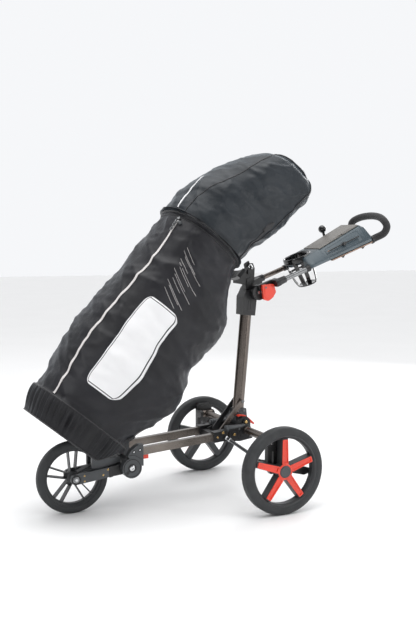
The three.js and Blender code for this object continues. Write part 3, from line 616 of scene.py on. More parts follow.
# ---------------------------------------------------------------- frame
def frame_parts():
    for _, word in SIDES:
        cad_finish(f"{word}_rail", RAIL_METAL, 1.4)
        cad_finish(f"{word}_front_knuckle", SLATE, 1.6)
    cad_finish("hub_casting", BLACK, 1.6)
    cad_finish("main_pivot_pin", BLACK, 0.6)
    leaf = rounded([(-28, 277.4), (-18, 280), (-8, 278.4), (2, 276.6), (6, 279), (-8, 283), (-20, 284.6),
                    (-30, 281.4)], 1.4, 3)
    piece("pedal_guard", [prism(leaf, 33.4, 46.6)], "frame", RED, bevel=0.8)
    cad_finish("fork_pivot_shaft", SATIN, 0.6)

    for side, word in SIDES:
        start, end = (side * 76.4, -10, 235), (side * CARRIER_X, -10, 235)
        arm = [(0, 0), (0, 13), (1, 14), (14, 14), (14.8, 13.2), (16, 13.2), (16.8, 14), (150, 14),
               (151, 13.3), (173.6, 13.3), (173.6, 0)]
        barrel = [(0, 5.8), (0, 12.4), (1.4, 13.8), (7, 13.8), (7.8, 13.2), (34, 13.2), (34.8, 13.8),
                  (40.6, 13.8), (42, 12.4), (42, 5.8)]
        piece(f"{word}_cross_tube", [
            turned(arm, start, (side, 0, 0), 40), lathe(barrel, (end[0], -30, 235), (0, 1, 0), 40),
        ], "frame", TITANIUM, f"{word}_axle_tube", degrees=30)

        barrel = disc(0, 76, 13, (side * 61, -86, 241), (0, 1, 0), 2, 40)
        rings = [lathe([(a, 12.6), (a, 14.2), (a + 3, 14.2), (a + 3, 12.6)], (side * 61, -86, 241),
                       (0, 1, 0), 40) for a in (10, 62)]
        piece(f"{word}_casting_barrel", [barrel, *rings], "frame", SLATE, bevel=0.5)

        # the casting's outer face: a clamp block over the rail's end, bolts and ribs
        x = side * 76
        ribs = [prism(rounded([(-66, rail_z(-66) - 9), (-50, rail_z(-50) - 9), (-50, rail_z(-50) + 9),
                               (-66, rail_z(-66) + 9)], 3, 3), *sorted((x, x + side * 2.2)))]
        ribs.append(disc(0, 2.6, 19.5, (x, -10, 235), (side, 0, 0), 1))
        ribs.append(prism(rounded([(-40, 203), (8, 207), (8, 213), (-40, 209)], 2, 2),
                          *sorted((x, x + side * 1.6))))
        for y in (-44, -34):
            ribs.append(prism([(y, 212), (y + 3, 212), (y + 3, 232), (y, 232)],
                              *sorted((x, x + side * 1.4))))
        piece(f"{word}_casting_face", ribs, "frame", BLACK, bevel=0.6)
        bolts = [screw((x + side * 2.0, -58, rail_z(-58)), (side, 0, 0), 4.4, 2.6, 0),
                 screw((x + side * 0.2, -38, 240.5), (side, 0, 0), 3.6, 2.4, 1),
                 screw((x + side * 0.2, 4, 212), (side, 0, 0), 3.6, 2.4, 1),
                 screw((side * 53, *MAIN_PIVOT), (side, 0, 0), 5.6, 1.6, 0)]
        piece(f"{word}_casting_bolts", bolts, "frame", [BRASS, SATIN])

        # knuckle: a seam ring, two recessed bolts, the pivot's ringed bolt and a small hole; the recesses
        # round the two bolts and the hole are flat black discs, painted shade
        x = side * 75
        y, z = FORK_PIVOT
        face = [lathe([(0, 28), (0, 30.5), (1.1, 30), (1.1, 28.5)], (x, y, z), (side, 0, 0), 56),
                lathe([(0, 10), (0, 14.5), (1.8, 13.8), (1.8, 10.6)], (x, y, z), (side, 0, 0), 40)]
        seam = [(-403, 172), (-408, 176), (-428, 188), (-448, 189)]
        face.append(tube([(x + side * 0.1, *p) for p in seam], 0.9, 8))
        # flat black discs: painted shade in the two bolt recesses and the small hole
        hole_shade_discs = [turned([(0, 0), (0, 4.6), (0.6, 5.4), (0.6, 3.9), (0.1, 3.5), (0.1, 0)],
                        (x, *p), (side, 0, 0), 24) for p in ((-409, 204), (-430, 199), (-452, 131))]
        piece(f"{word}_knuckle_marks", face + hole_shade_discs, "frame", TRIM)
        piece(f"{word}_knuckle_bolt", [screw((x - side * 2, y, z), (side, 0, 0), 9.2, 3.6),
                                       screw((x, -409, 204), (side, 0, 0), 2.6, 0.9),
                                       screw((x, -430, 199), (side, 0, 0), 2.6, 0.9)],
              "frame", [CHROME])

    cad_finish("slider_yoke", BLACK, 1.2)
    for side, word in SIDES:
        lug = [turned([(0, 0), (0, 7), (1.2, 8), (7, 8), (8, 7), (8, 0)],
                      (side * 73, -104, rail_z(-104) + 14), (side, 0, 0), 24),
               disc(0, 2, 6.5, (side * 73.5, -122, rail_z(-122)), (side, 0, 0), 0.7, 20)]
        piece(f"{word}_slider_lug", lug, "slider", BLACK, bevel=0.5)
        piece(f"{word}_slider_screw", [
            screw((side * 81, -104, rail_z(-104) + 14), (side, 0, 0), 4.4, 1.8),
            screw((side * 75.5, -122, rail_z(-122)), (side, 0, 0), 3.6, 1.6),
        ], "slider", [BRASS])

    cad_finish("left_stay", TITANIUM, 1.5)
    cad_finish("right_stay", BLACK, 1.5)
    for side, word in SIDES:
        x = side * 31
        pins = [screw((x, -2, 328), (side, 0, 0), 5.4, 2.4), screw((x, -88, 226), (side, 0, 0), 5.4, 2.4)]
        piece(f"{word}_stay_pins", pins, "stays", [SATIN])


def ball(centre, radius, axis=(0, 0, 1), steps=24):
    """A ball with a small flat at each end of its axis."""
    outline = [(-radius * 0.97, 0)]
    for k in range(13):
        turn = math.radians(-76 + 152 * k / 12)
        outline.append((radius * math.sin(turn), radius * math.cos(turn)))
    return turned(outline + [(radius * 0.97, 0)], centre, axis, steps)


def links():
    for side, word in SIDES:
        start, end = Vector((side * 84, -92, 216)), Vector((side * CARRIER_X, -52, 170))
        along = (end - start).normalized()
        a, b = start + along * 6, end - along * 19
        rod = tube([a + (b - a) * k / 12 for k in range(13)], 6, 20)
        nuts = [turned([(0, 0), (0, 6.8), (1, 7.4), (8, 7.4), (9, 6.8), (9, 0)], p, along, 6)
                for p in (a + along * 6, b - along * 15)]
        necks = [turned([(0, 0), (0, 5.2), (4, 5.6), (6, 4.6), (6, 0)], p, along, 20)
                 for p in (a, b - along * 6)]
        piece(f"{word}_fold_rod", [rod, *necks, *(painted(n, 1) for n in nuts)], f"{word}_rod",
              [SATIN, CHROME], f"{word}_link_rod")
        piece(f"{word}_rod_ball", [
            ball(start + along * 0.5, 7.4, along),
            disc(-9, -2, 5, start, along, 1, 20),
        ], "slider", [CHROME])


def carriers():
    for side, word in SIDES:
        cad_finish(f"{word}_wheel_carrier", BLACK, 1.3)
        cad_finish(f"{word}_stub_axle", SATIN, 0.6)
        faces = []
        for x, way in ((side * 285, side), (side * 266.5, -side)):
            lo, hi = sorted((x, x + way * 1.3))
            faces.append(prism(rounded([(-36, 222), (12, 222), (12, 264), (-36, 264)], 5, 4), lo, hi))
            for y in (-34, -13, 9):
                faces.append(prism([(y, 158), (y + 3, 158), (y + 3, 214), (y, 214)], lo, hi))
        piece(f"{word}_carrier_ribs", faces, f"{word}_carrier", BLACK, bevel=0.4)
        bolts = [screw((side * 286, y, z), (side, 0, 0), 4.6, 2.4)
                 for y, z in ((-26, 252), (3, 252), (-26, 232), (3, 232))]
        piece(f"{word}_carrier_bolts", bolts, f"{word}_carrier", [SATIN])
    cad_finish("brake_lever", BLACK, 1.3)


# ---------------------------------------------------------------- front fork
def fork_parts():
    for side, word in SIDES:
        cad_finish(f"{word}_fork_arm", SLATE, 1.6)
        x = side * 47
        rear = [screw((x, y, z), (side, 0, 0), 3.2, 1.7) for y, z in ((-512, 143), (-528, 126))]
        front = [screw((x, y, z), (side, 0, 0), 3.0, 1.6) for y, z in ((-592, 131), (-592, 113))]
        piece(f"{word}_fork_screws", rear + front, "fork", [BRASS])
        line = prism(rounded([(-604, 107), (-506, 120.5), (-506, 146), (-604, 133.5)], 4, 4),
                     *sorted((x, x + side * 0.7)))
        cap = prism(rounded([(-508, 115), (-494, 117), (-494, 153), (-508, 151)], 3, 3),
                    *sorted((side * 33.2, x + side * 1.6)))
        ring = lathe([(0, 11.5), (0, 15.6), (1.5, 15), (1.5, 12)], (x, *FRONT_AXLE), (side, 0, 0), 36)
        piece(f"{word}_fork_trim", [line, painted(cap, 1), painted(ring, 1)], "fork",
              [SLATE, BLACK], bevel=0.6)
        nut = [(0, 0), (0, 9.4), (2.6, 9.4), (3.6, 8.2), (3.6, 5), (5, 4.6), (5.4, 0)]
        piece(f"{word}_axle_nut", [turned(nut, (side * 47.2, *FRONT_AXLE), (side, 0, 0), 6),
                                   disc(-0.2, 0.6, 10.6, (side * 47.2, *FRONT_AXLE), (side, 0, 0), 0.3)],
              "fork", [CHROME])
    cad_finish("fork_bridge", BLACK, 1.6)
    cad_finish("front_axle", SATIN, 0.6)
    cad_finish("bag_rest", SLATE, 2.2)
    pads = []
    for side, _ in SIDES:
        for y in (-470, -486):
            pads.append(prism([(y, 178), (y + 8, 178), (y + 8, 179.2), (y, 179.2)],
                              *sorted((side * 24, side * 31))))
    piece("rest_pads", pads, "fork", TRIM, bevel=0.4)
    cad_finish("fork_release", RED, 1.4)
    tab = [prism([(y, 170.4), (y + 1.6, 170.4), (y + 1.6, 172), (y, 172)], 54, 66)
           for y in (-390, -386, -382)]
    piece("release_ribs", tab, "release", RED)


# ---------------------------------------------------------------- upright
def upright_section():
    """The tube's oval, with a narrow channel down each side and a fine line before and behind it."""
    section = []
    for k in range(120):
        turn = 2 * math.pi * k / 120
        x, y = 15 * math.cos(turn), 21.5 * math.sin(turn)
        cut = 1.9 * math.exp(-((y / 1.5) ** 4)) + 0.5 * math.exp(-(((abs(y) - 9) / 0.7) ** 4))
        section.append((x - math.copysign(min(cut, abs(x)), x), y))
    return section


def upright_parts():
    foot, top = Vector((0, *UPRIGHT_FOOT)), Vector((0, *UPRIGHT_TOP))
    along = (top - foot).normalized()
    path = [foot + along * 0.5 + (top - foot - along) * k / 24 for k in range(25)]
    piece("upright_extrusion", [sweep(path, upright_section(), up=(0, 1, 0))], "upright",
          TITANIUM, "upright_tube", degrees=50)
    cad_finish("upright_foot", SLATE, 1.6)
    cad_finish("top_bracket", BLACK, 2.6)
    cad_finish("handle_pivot_bolt", CHROME, 0.6)
    for side, word in SIDES:
        x = side * 26
        slot = rounded([(20, 650), (32, 650), (36, 694), (24, 694)], 6, 5)
        inner = rounded([(22.5, 653), (29.5, 653), (33, 691), (26, 691)], 4, 5)
        ring = trough(slot, inner, 0, 0.1, 1.3)
        ring = moved(ring, lambda a, y, z, x=x, side=side: (x + side * (a - 0.2), y, z))
        seam = prism([(1, 644), (49, 640), (49, 641.2), (1, 645.2)], *sorted((x, x + side * 0.5)))
        piece(f"{word}_bracket_slot", [ring, seam], "upright", BLACK, bevel=0.4)
        collar = [screw((side * 22, 8, 292), (side, 0, 0), 4.2, 2.2),
                  screw((side * 22, -17, 292), (side, 0, 0), 4.2, 2.2)]
        piece(f"{word}_foot_screws", collar, "upright", [SATIN])

    cad_finish("bag_arm", BLACK, 2.4)
    cad_finish("bag_cradle", BLACK, 2.0)
    plates = []
    for side, _ in SIDES:
        lo, hi = sorted((side * 14, side * 16.4))
        plates.append(prism(rounded([(18, 726), (36, 726), (46, 745), (40, 770), (22, 764)], 4, 4),
                            lo, hi))
        plates.append(disc(0, 3.4, 8, (side * 14, 32, 744), (side, 0, 0), 0.8, 24))
    piece("arm_shoulder", plates, "upright", BLACK, bevel=0.6)

    # the strap's anchor on top of the arm: a chrome hook and a buckle
    hook = smooth_path([(15, 42, 802), (21, 42, 802), (23, 39, 806), (23, 34, 812), (22, 29, 814),
                        (21, 26, 808), (21, 28, 802)], 6)
    piece("anchor_hook", [tube(hook, 2.6, 12), disc(0, 3, 5.4, (14.4, 42, 802), (1, 0, 0), 0.8)],
          "upright", [CHROME], "strap_hook")
    buckle = [trough(rounded([(8, 806), (30, 818), (24, 834), (4, 822)], 4, 3),
                     rounded([(11, 810), (26, 818), (22, 828), (8, 820)], 3, 3), 0, 0.4, 4)]
    buckle = [moved(b, lambda x, y, z: (x + 14.5, y + 4, z - 6)) for b in buckle]
    clip = [slab((14.4, 24, 780), (20, 38, 798))]
    piece("strap_buckle", [*buckle, *clip], "upright", BLACK,
          bevel=0.8)
    wedge = prism(rounded([(6, 750), (-8, 752), (-14, 768), (2, 776)], 3, 3), -17, -14.2)
    piece("cradle_catch", [wedge], "upright", RED, bevel=1.0)


def pedal():
    """The wavy red tread behind the foot, with its grip ribs."""
    top = [(26, 266), (31, 265), (36, 259), (42, 253), (49, 248), (55, 242)]
    low = [(53, 236.6), (47, 240), (40, 244.5), (34, 250), (29, 256), (26, 256)]
    leaf = prism(rounded(top + low, 2.5, 3), -15, 15)
    ribs = []
    for k in range(5):
        t = (k + 0.5) / 5
        y, z = 33 + 20 * t, 263.2 - 18.5 * t
        ribs.append(prism([(y - 1.2, z - 1.5), (y + 1.2, z - 2.6), (y + 1.5, z - 0.7), (y - 0.6, z + 0.6)],
                          -13, 13))
    piece("pedal_leaf", [leaf, *ribs], "pedal", RED, "fold_pedal", bevel=1.0)


# ---------------------------------------------------------------- handle
def handle_lathe(outline, x, along, across, steps=32):
    return turned(outline, on_handle(x, along, across), handle_axis(1, 0), steps)


def handle_block(low, high):
    """A box told by its corners across, along and above the handle."""
    return moved(slab(low, high), on_handle)


def handle_parts():
    for side, word in SIDES:
        cad_finish(f"{word}_pivot_clamp", BLACK, 2.0)
        x = side * 50
        centre = (x, *HANDLE_PIVOT)
        dial = [lathe([(0, 17), (0, 26.4), (1.2, 25.6), (1.2, 18)], centre, (side, 0, 0), 48),
                turned([(0, 0), (0, 12), (2.6, 11.4), (2.6, 8), (1, 7.4), (1, 0)], centre,
                       (side, 0, 0), 36)]
        for k in range(18):
            turn = 2 * math.pi * k / 18
            rib = slab((0.6, -0.8, 18.5), (1.8, 0.8, 24.6))
            c, s = math.cos(turn), math.sin(turn)
            dial.append(moved(rib, lambda a, y, z, c=c, s=s: (
                x + side * a, HANDLE_PIVOT[0] + y * c - z * s, HANDLE_PIVOT[1] + y * s + z * c)))
        piece(f"{word}_clamp_dial", dial, "handle", BLACK, bevel=0.3)

        ferrule = [(57, 0), (57, 12.6), (59, 13.6), (66, 13.6), (67, 12.9), (70, 12.9), (71, 13.6),
                   (84, 13.2), (97, 12.6), (99, 11.4), (99, 9.2), (98, 0)]
        piece(f"{word}_ferrule", [handle_lathe(ferrule, side * ARM_X, 0, ARM_ACROSS)],
              "handle", BLACK)

        # a shield-shaped lever with a notch at its top and a raised middle
        shield = rounded([(10, 26), (28, 21), (33, 17), (38, 19), (55, 12), (54, -18), (36, -32),
                          (14, -37), (-2, -25)], 5, 4)
        raised = rounded([(16, 18), (46, 8), (46, -16), (32, -26), (16, -29), (5, -21)], 5, 4)
        outer = prism([on_handle(0, *p)[1:] for p in shield], *sorted((side * 60.3, side * 71.4)))
        boss = prism([on_handle(0, *p)[1:] for p in raised], *sorted((side * 71.0, side * 73)))
        piece(f"{word}_lever_shield", [outer, boss], f"{word}_lever", RED,
              f"{word}_clamp_lever", bevel=1.6)
        pin = screw((side * 72.6, *on_handle(0, 20, 12)[1:]), (side, 0, 0), 3.4, 1.8)
        piece(f"{word}_lever_pin", [pin],
              f"{word}_lever", [SATIN])

        arm = [(74.8, 0), (74.8, 9), (98, 9), (205.6, 9), (205.6, 0)]
        metal = SATIN if side > 0 else TITANIUM
        piece(f"{word}_arm_tube", [handle_lathe(arm, side * ARM_X, 0, ARM_ACROSS, 40)], "handle", metal,
              f"{word}_handle_arm")
        socket = [(190, 0), (190, 10.2), (191.4, 11.4), (203, 11.8), (205.9, 11.8), (205.9, 0)]
        piece(f"{word}_arm_socket", [handle_lathe(socket, side * ARM_X, 0, ARM_ACROSS)], "handle", BLACK)


CUP_ALONG, CUP_RADIUS, CUP_LEAN = 212, 50, 12
CONSOLE_FRONT, CONSOLE_REAR = 206, 492
LID_FRONT, LID_REAR = 282, 470
PANEL_LOW = 26.5  # the lower edge of the console's side panel, across the handle
ARM_X, ARM_ACROSS = 80, 13.5  # where the two arms run, beside and across the handle


def console_top(along):
    """The height of the console's top face along the handle."""
    return float(np.interp(along, [206, 278, 282, 470, 471, 492], [52, 57, 54, 76, 80, 62]))


def console_section(along, sink=0.0):
    """Half the console's outline at one place, from the middle of its floor out and round to the top."""
    top = console_top(along) - sink
    return [(0, 9), (86, 9), (89.5, 9.8), (92, 12), (92, 20), (91, 22.6), (62, top - 4.2),
            (59, top - 1.4), (54, top), (0, top)]


def console():
    """The console's shell: fine sections along the handle with the cup's bore and the tray cut out."""
    stations = [CONSOLE_FRONT, 209, *range(216, 276, 12), 277, 278.5, 281.5, 283,
                *range(296, 468, 12), 469.5, 470.6, 473, 480, 487, 490, CONSOLE_REAR]
    verts, faces = [], []
    for n, along in enumerate(stations):
        end = min(n, len(stations) - 1 - n)
        inset = (2.4, 0.7, 0)[min(end, 2)]
        half = console_section(along, inset)
        ring = half + [(-x, a) for x, a in reversed(half[1:-1])]
        verts += [on_handle(x - math.copysign(min(inset, abs(x)), x), along,
                            max(a, 9 + inset)) for x, a in ring]
    size = len(verts) // len(stations)
    for n in range(len(stations) - 1):
        for k in range(size):
            j = (k + 1) % size
            faces.append((n * size + k, n * size + j, (n + 1) * size + j, (n + 1) * size + k))
    faces += [tuple(range(size)), tuple(reversed(range((len(stations) - 1) * size, len(verts))))]
    body = piece("console_shell", [(verts, faces)], "handle", [CONSOLE, GLOSS],
                 "console", degrees=26)
    cutters = [moved(slab((-46, 300, 26), (46, 455, 100)), on_handle),
               turned([(-30, 0), (-30, CUP_RADIUS + 0.4), (60, CUP_RADIUS + 0.4), (60, 0)],
                      on_handle(0, CUP_ALONG, 30), handle_axis(0, 1), 64)]
    for n, cutter in enumerate(cutters):
        cut(body, cutter, f"cutter_{n}")
    soften(body, 0.7, 2, 40)
    return body


def cut(obj, part, name):
    """Takes one closed part away from an object's mesh."""
    mesh = bpy.data.meshes.new(name)
    mesh.from_pydata([place(*v) for v in part[0]], [], part[1])
    work = bmesh.new()
    work.from_mesh(mesh)
    bmesh.ops.remove_doubles(work, verts=work.verts, dist=2e-6)
    bmesh.ops.recalc_face_normals(work, faces=work.faces)
    work.to_mesh(mesh)
    work.free()
    tool = bpy.data.objects.new(name, mesh)
    bpy.context.collection.objects.link(tool)
    mod = obj.modifiers.new("cut", "BOOLEAN")
    mod.object, mod.operation, mod.solver = tool, "DIFFERENCE", "EXACT"
    bpy.context.view_layer.update()
    result = bpy.data.meshes.new_from_object(
        obj.evaluated_get(bpy.context.evaluated_depsgraph_get()))
    obj.modifiers.remove(mod)
    old, obj.data = obj.data, result
    smooth(result, 26)
    bpy.data.meshes.remove(old)
    bpy.data.objects.remove(tool)
    bpy.data.meshes.remove(mesh)


def lid():
    """The lid: a crowned plate with turned-down edges, a pencil slot and a cord notch."""
    verts, faces = [], []
    stations = [LID_FRONT + 0.6, LID_FRONT + 1.6, *range(290, 466, 10), LID_REAR - 2, LID_REAR - 0.6]
    for n, along in enumerate(stations):
        low = 54.5 + (76.4 - 54.5) * (along - 282.5) / 187
        high = 59 + (83 - 59) * (along - 282.5) / 187
        drop = 1.4 if n in (0, len(stations) - 1) else 0.0
        half = [(0, low), (52.8, low), (53.8, low + 0.8), (54, low + 1.4), (53.8, high - 1.8 - drop),
                (52.4, high - 0.6 - drop), (50, high - drop), (0, high - drop)]
        ring = half + [(-x, a) for x, a in reversed(half[1:-1])]
        verts += [on_handle(x, along, a) for x, a in ring]
    size = len(verts) // len(stations)
    for n in range(len(stations) - 1):
        for k in range(size):
            j = (k + 1) % size
            faces.append((n * size + k, n * size + j, (n + 1) * size + j, (n + 1) * size + k))
    faces += [tuple(range(size)), tuple(reversed(range((len(stations) - 1) * size, len(verts))))]
    cover = piece("lid_plate", [(verts, faces)], "lid", LID, "console_lid",
                  degrees=30)
    height = (lambda along: 59 + 24 * (along - 282.5) / 187)
    slot = rounded([(47, 330), (49.5, 330), (49.5, 440), (47, 440)], 1.2, 3)
    solid = [(x, a, height(a) - 2.2) for x, a in slot] + [(x, a, height(a) + 3) for x, a in slot]
    n = len(slot)
    walls = [(i, (i + 1) % n, n + (i + 1) % n, n + i) for i in range(n)]
    cut(cover, moved((solid, [tuple(range(n)), tuple(reversed(range(n, 2 * n))), *walls]),
                     on_handle), "slot")
    notch = [(x, 384 + 12 * y, height(384) + z) for x, y, z in (
        (47, -1, -3.2), (56, -1, -3.2), (56, 1, -3.2), (47, 1, -3.2),
        (47, -1, 6), (56, -1, 6), (56, 1, 6), (47, 1, 6))]
    cut(cover, moved((notch, [(0, 1, 2, 3), (7, 6, 5, 4), (0, 4, 5, 1), (1, 5, 6, 2), (2, 6, 7, 3),
                              (3, 7, 4, 0)]), on_handle), "notch")
    soften(cover, 0.5, 2, 40)


def console_details():
    """What is fixed to the console: its near panel, pencil, clips, ribbed rail and the deck round the cup.
    """
    for side, word in SIDES:
        high = (lambda along: console_top(along) - 6.5)

        def skin(along, across, proud, side=side):
            """A point on the sloping side, a little proud of it."""
            top = console_top(along) - 4.2
            share = (across - 22.6) / (top - 22.6)
            x = 91 + (62 - 91) * share
            return on_handle(side * (x + proud * 0.84), along, across + proud * 0.5)

        outline = rounded([(292, PANEL_LOW), (452, PANEL_LOW), (452, high(452)), (292, high(292))], 9, 6)
        centre = np.mean(outline, axis=0)
        inner = [tuple(centre + (np.array(p) - centre) * (0.985, 0.93)) for p in outline]
        n = len(outline)
        for_ring = [skin(a, c, p) for line, p in ((outline, -0.3), (outline, 0.9), (inner, 0.9),
                                                  (inner, 0.35)) for a, c in line]
        faces = [(r * n + i, r * n + (i + 1) % n, (r + 1) * n + (i + 1) % n, (r + 1) * n + i)
                 for r in range(3) for i in range(n)]
        faces.append(tuple(range(3 * n, 4 * n)))
        piece(f"{word}_console_panel", [(for_ring, faces)], "handle", CONSOLE,
              degrees=40)

        rail = []
        for k in range(34):
            along = 300 + k * 5.4
            rail.append(handle_block((side * 84, along, 4.6), (side * 93.4, along + 3.4, 9.4)))
        rail.append(handle_block((side * 85, 296, 6.4), (side * 92.4, 488, 9.4)))
        piece(f"{word}_console_rail", [rail[-1], *rail[:-1]], "handle", BRONZE,
              bevel=0.5)
        clips = []
        for along in (344, 436):
            clips.append(handle_block((side * 80, along, 1.6), (side * 90, along + 13, 7)))
            clips.append(handle_block((side * 83, along + 3, -2.4), (side * 88, along + 10, 2)))
        piece(f"{word}_rail_clips", clips, "handle", BLACK, bevel=0.8)

    # a pencil held against the near panel
    start, end = Vector(on_handle(84, 302, 42)), Vector(on_handle(84, 442, 46))
    along = end - start
    pencil = [start + along * k / 10 for k in range(11)]
    point = turned([(0, 0), (0, 2.7), (7, 1.1), (9, 0.3), (9.2, 0)], start,
                   tuple(start - end), 12)
    piece("pencil", [tube(pencil, 2.2, 6), painted(point, 1)], "handle", [BLACK, BRONZE])
    clip = [handle_block((76, 366, 38), (88.6, 378, 40.4)),
            handle_block((76, 366, 46.8), (88.6, 378, 49)),
            handle_block((86.8, 366, 38.4), (89, 378, 48.6))]
    piece("pencil_clip", clip, "handle", BLACK, bevel=0.7)

    # the dark front deck round the cup
    deck = []
    for k in range(72):
        turn = 2 * math.pi * k / 72
        x, a = math.sin(turn), math.cos(turn)
        ring = [(50.6, 0.2), (51.6, 1.6), (54, 2.2), (56, 0.6)]
        deck.append([(x * r, CUP_ALONG + a * r, h) for r, h in ring])
    verts = [on_handle(x, max(a, CONSOLE_FRONT), console_top(max(a, CONSOLE_FRONT)) + h)
             for ring in deck for x, a, h in ring]
    faces = [(k * 4 + i, (k + 1) % 72 * 4 + i, (k + 1) % 72 * 4 + i + 1, k * 4 + i + 1)
             for k in range(72) for i in range(3)
             if CUP_ALONG + 51 * math.cos(2 * math.pi * k / 72) > CONSOLE_FRONT + 1
             and CUP_ALONG + 51 * math.cos(2 * math.pi * (k + 1) / 72) > CONSOLE_FRONT + 1]
    piece("cup_collar", [(verts, faces)], "handle", GLOSS)


def cup_cage():
    """The drinks holder: a deep glossy ring, four ribbed legs that curl under, and a floor."""
    up = handle_axis(0, 1)
    base = on_handle(0, CUP_ALONG, 0)
    ring = [(37, 43.4), (37, 49), (38, 50), (53, 50), (56, 48.6), (56.4, 46.6), (55.4, 44.6),
            (53, 43)]
    waist = [(-4, 40.4), (-4, 43.6), (-3, 44.2), (3, 44.2), (4, 43.6), (4, 40.4)]
    floor = [(-60, 0), (-60, 30), (-58.6, 34.6), (-55.4, 36), (-54.6, 34.4), (-56, 30), (-56.4, 0)]
    leaned = [on_handle(0, CUP_ALONG + CUP_LEAN * share, 0) for share in (0.5, 1)]
    parts = [lathe(ring, base, up, 72), lathe(waist, leaned[0], up, 60),
             turned(floor, leaned[1], up, 48)]
    for k in range(4):
        turn = math.radians(90 * k + 45)
        x, a = math.sin(turn), math.cos(turn)
        line = [(47, 50), (46, 20), (43.6, -10), (40, -36), (36, -50), (31, -57), (24, -58.4)]
        path = smooth_path([on_handle(x * r, CUP_ALONG + CUP_LEAN * (50 - h) / 108 + a * r, h)
                            for r, h in line], 5)
        out = Vector(on_handle(x, a, 0)) - Vector(on_handle(0, 0, 0))
        parts.append(sweep(path, [(-8, -1.4), (8, -1.4), (8, 1.4), (2, 2.4), (-2, 2.4),
                                  (-8, 1.4)], up=out))
    piece("drinks_holder", parts, "handle", GLOSS, "cup_cage", bevel=0.5)


def grip():
    """A thick foam sleeve on a bent tube, with its end collars."""
    half = [(82, CONSOLE_REAR + 2, 14), (84, 510, 15), (103, 536, 22), (113, 550, 42), (102, 554, 64),
            (62, 564, 77)]
    route = half + [(0, 570, 81)] + [(-x, a, h) for x, a, h in reversed(half)]
    route = [on_handle(*spot) for spot in route]
    path = smooth_path(route, 12)

    def foam_section(share):
        end = min(share, 1 - share) * 2
        swell = 13.5 - 1.2 * math.exp(-end * 26) + 0.25 * math.sin(share * 130) * 0.4
        return circle(min(13.5, swell), 28)

    piece("foam_grip", [sweep(path, foam_section)], "handle", GRIP, "grip_loop", degrees=60)
    for side, word in SIDES:
        start = on_handle(side * 82, CONSOLE_REAR - 4, 13.6)
        collar = [(0, 0), (0, 14.4), (1, 15.2), (6.5, 15.2), (7.6, 14.2), (7.6, 0)]
        piece(f"{word}_grip_collar", [turned(collar, start, handle_axis(1, 0.02), 36)], "handle",
              BLACK)


def knob():
    up = handle_axis(0, 1)
    stem = [(0, 0), (0, 6), (2, 6.4), (4, 5.2), (29, 5), (31, 6.6), (33, 6.6), (33, 0)]
    base = on_handle(-78, 400, 46)
    parts = [turned(stem, base, up, 24), ball(on_handle(-78, 400, 92), 15, tuple(up), 40)]
    piece("ball_handle", parts, "handle", GLOSS, "ball_knob")


# ---------------------------------------------------------------- the covered bag
# place up the bag's axis, nearest and furthest distance from the upright, half width
BAG_ROWS = [
    (-172, 500, 812, 145), (-150, 492, 822, 158), (-128, 480, 848, 176), (-63, 463, 855, 183),
    (6, 424, 872, 190), (70, 395, 880, 195), (125, 402, 880, 196), (190, 430, 876, 194),
    (250, 434, 872, 189), (290, 427, 868, 187), (341, 410, 866, 185), (400, 417, 864, 182),
    (440, 440, 862, 179), (494, 483, 860, 175), (552, 520, 856, 168), (600, 530, 856, 162),
]
HOOD_ROWS = [
    (600, 530, 858, 162), (683, 517, 862, 155), (745, 488, 852, 150), (814, 465, 822, 146),
    (880, 457, 790, 140), (930, 448, 762, 130), (968, 442, 735, 120), (1005, 448, 706, 106),
    (1024, 470, 676, 88), (1036, 520, 630, 50),
]
SKIRT_ROWS = [(-213, 486, 822, 165), (-150, 480, 845, 176), (-128, 480, 848, 176)]
HEM, COLLAR = -128, 604
SQUARENESS = 2.4


def bag_size(up, rows, blur=16.0):
    """Rear, front and half width of the bag at one height, its rows joined smoothly."""
    ups = [row[0] for row in rows]
    spots = [min(max(up + blur * d, ups[0]), ups[-1]) for d in (-1, -0.5, 0, 0.5, 1)]
    return [float(np.mean(np.interp(spots, ups, [row[n] for row in rows]))) for n in (1, 2, 3)]


def bag_point(up, turn, grow=0.0, rows=BAG_ROWS, shrink=1.0):
    """A place on the bag's surface: turn 0 is its left side and 90 degrees its front."""
    rear, front, half = bag_size(up, rows)
    bend = (lambda v: math.copysign(abs(v) ** (2 / SQUARENESS), v))
    c, s = bend(math.cos(turn)), bend(math.sin(turn))
    return on_bag((half * shrink + grow) * c, up,
                  (rear + front) / 2 + ((front - rear) / 2 * shrink + grow) * s)


def shell(ups, around, grow, rows, closed_top=False):
    """A tube of cloth: rows of points round the bag, and a gathered crown if its top is closed."""
    levels = [(up, 1.0) for up in ups]
    if closed_top:
        levels += [(ups[-1] + 2.2, 0.84), (ups[-1] + 3.6, 0.6), (ups[-1] + 4.2, 0.34),
                   (ups[-1] + 4.4, 0.12)]
    verts = [bag_point(up, 2 * math.pi * k / around, grow, rows, share)
             for up, share in levels for k in range(around)]
    faces = [(r * around + k, r * around + (k + 1) % around,
              (r + 1) * around + (k + 1) % around, (r + 1) * around + k)
             for r in range(len(levels) - 1) for k in range(around)]
    if closed_top:
        faces.append(tuple(range((len(levels) - 1) * around, len(levels) * around)))
    return verts, faces


def creases(obj, rows, depth, seed):
    """Starts the folds with two sizes of slow waves in the cloth."""
    for v in obj.data.vertices:
        x, y, z = v.co.x, v.co.y - REAR_AXLE_Y, v.co.z
        up = (BAG_TILT[0] * y + BAG_TILT[1] * z) * 1000
        out = (BAG_TILT[0] * z - BAG_TILT[1] * y) * 1000
        rear, front, _ = bag_size(up, rows)
        away = Vector((x * 1000, 0, 0)) + Vector((0, -BAG_TILT[1], BAG_TILT[0])) * (
            out - (rear + front) / 2)
        if away.length < 1:
            continue
        away.normalize()
        long_fold = noise.noise(Vector((x * 5 + seed, out * 0.006, up * 0.019 + x * 6)))
        short = noise.noise(Vector((x * 22, out * 0.02 + seed, up * 0.05)))
        v.co += away * (depth * (long_fold * 0.8 + short * 0.35)) / 1000


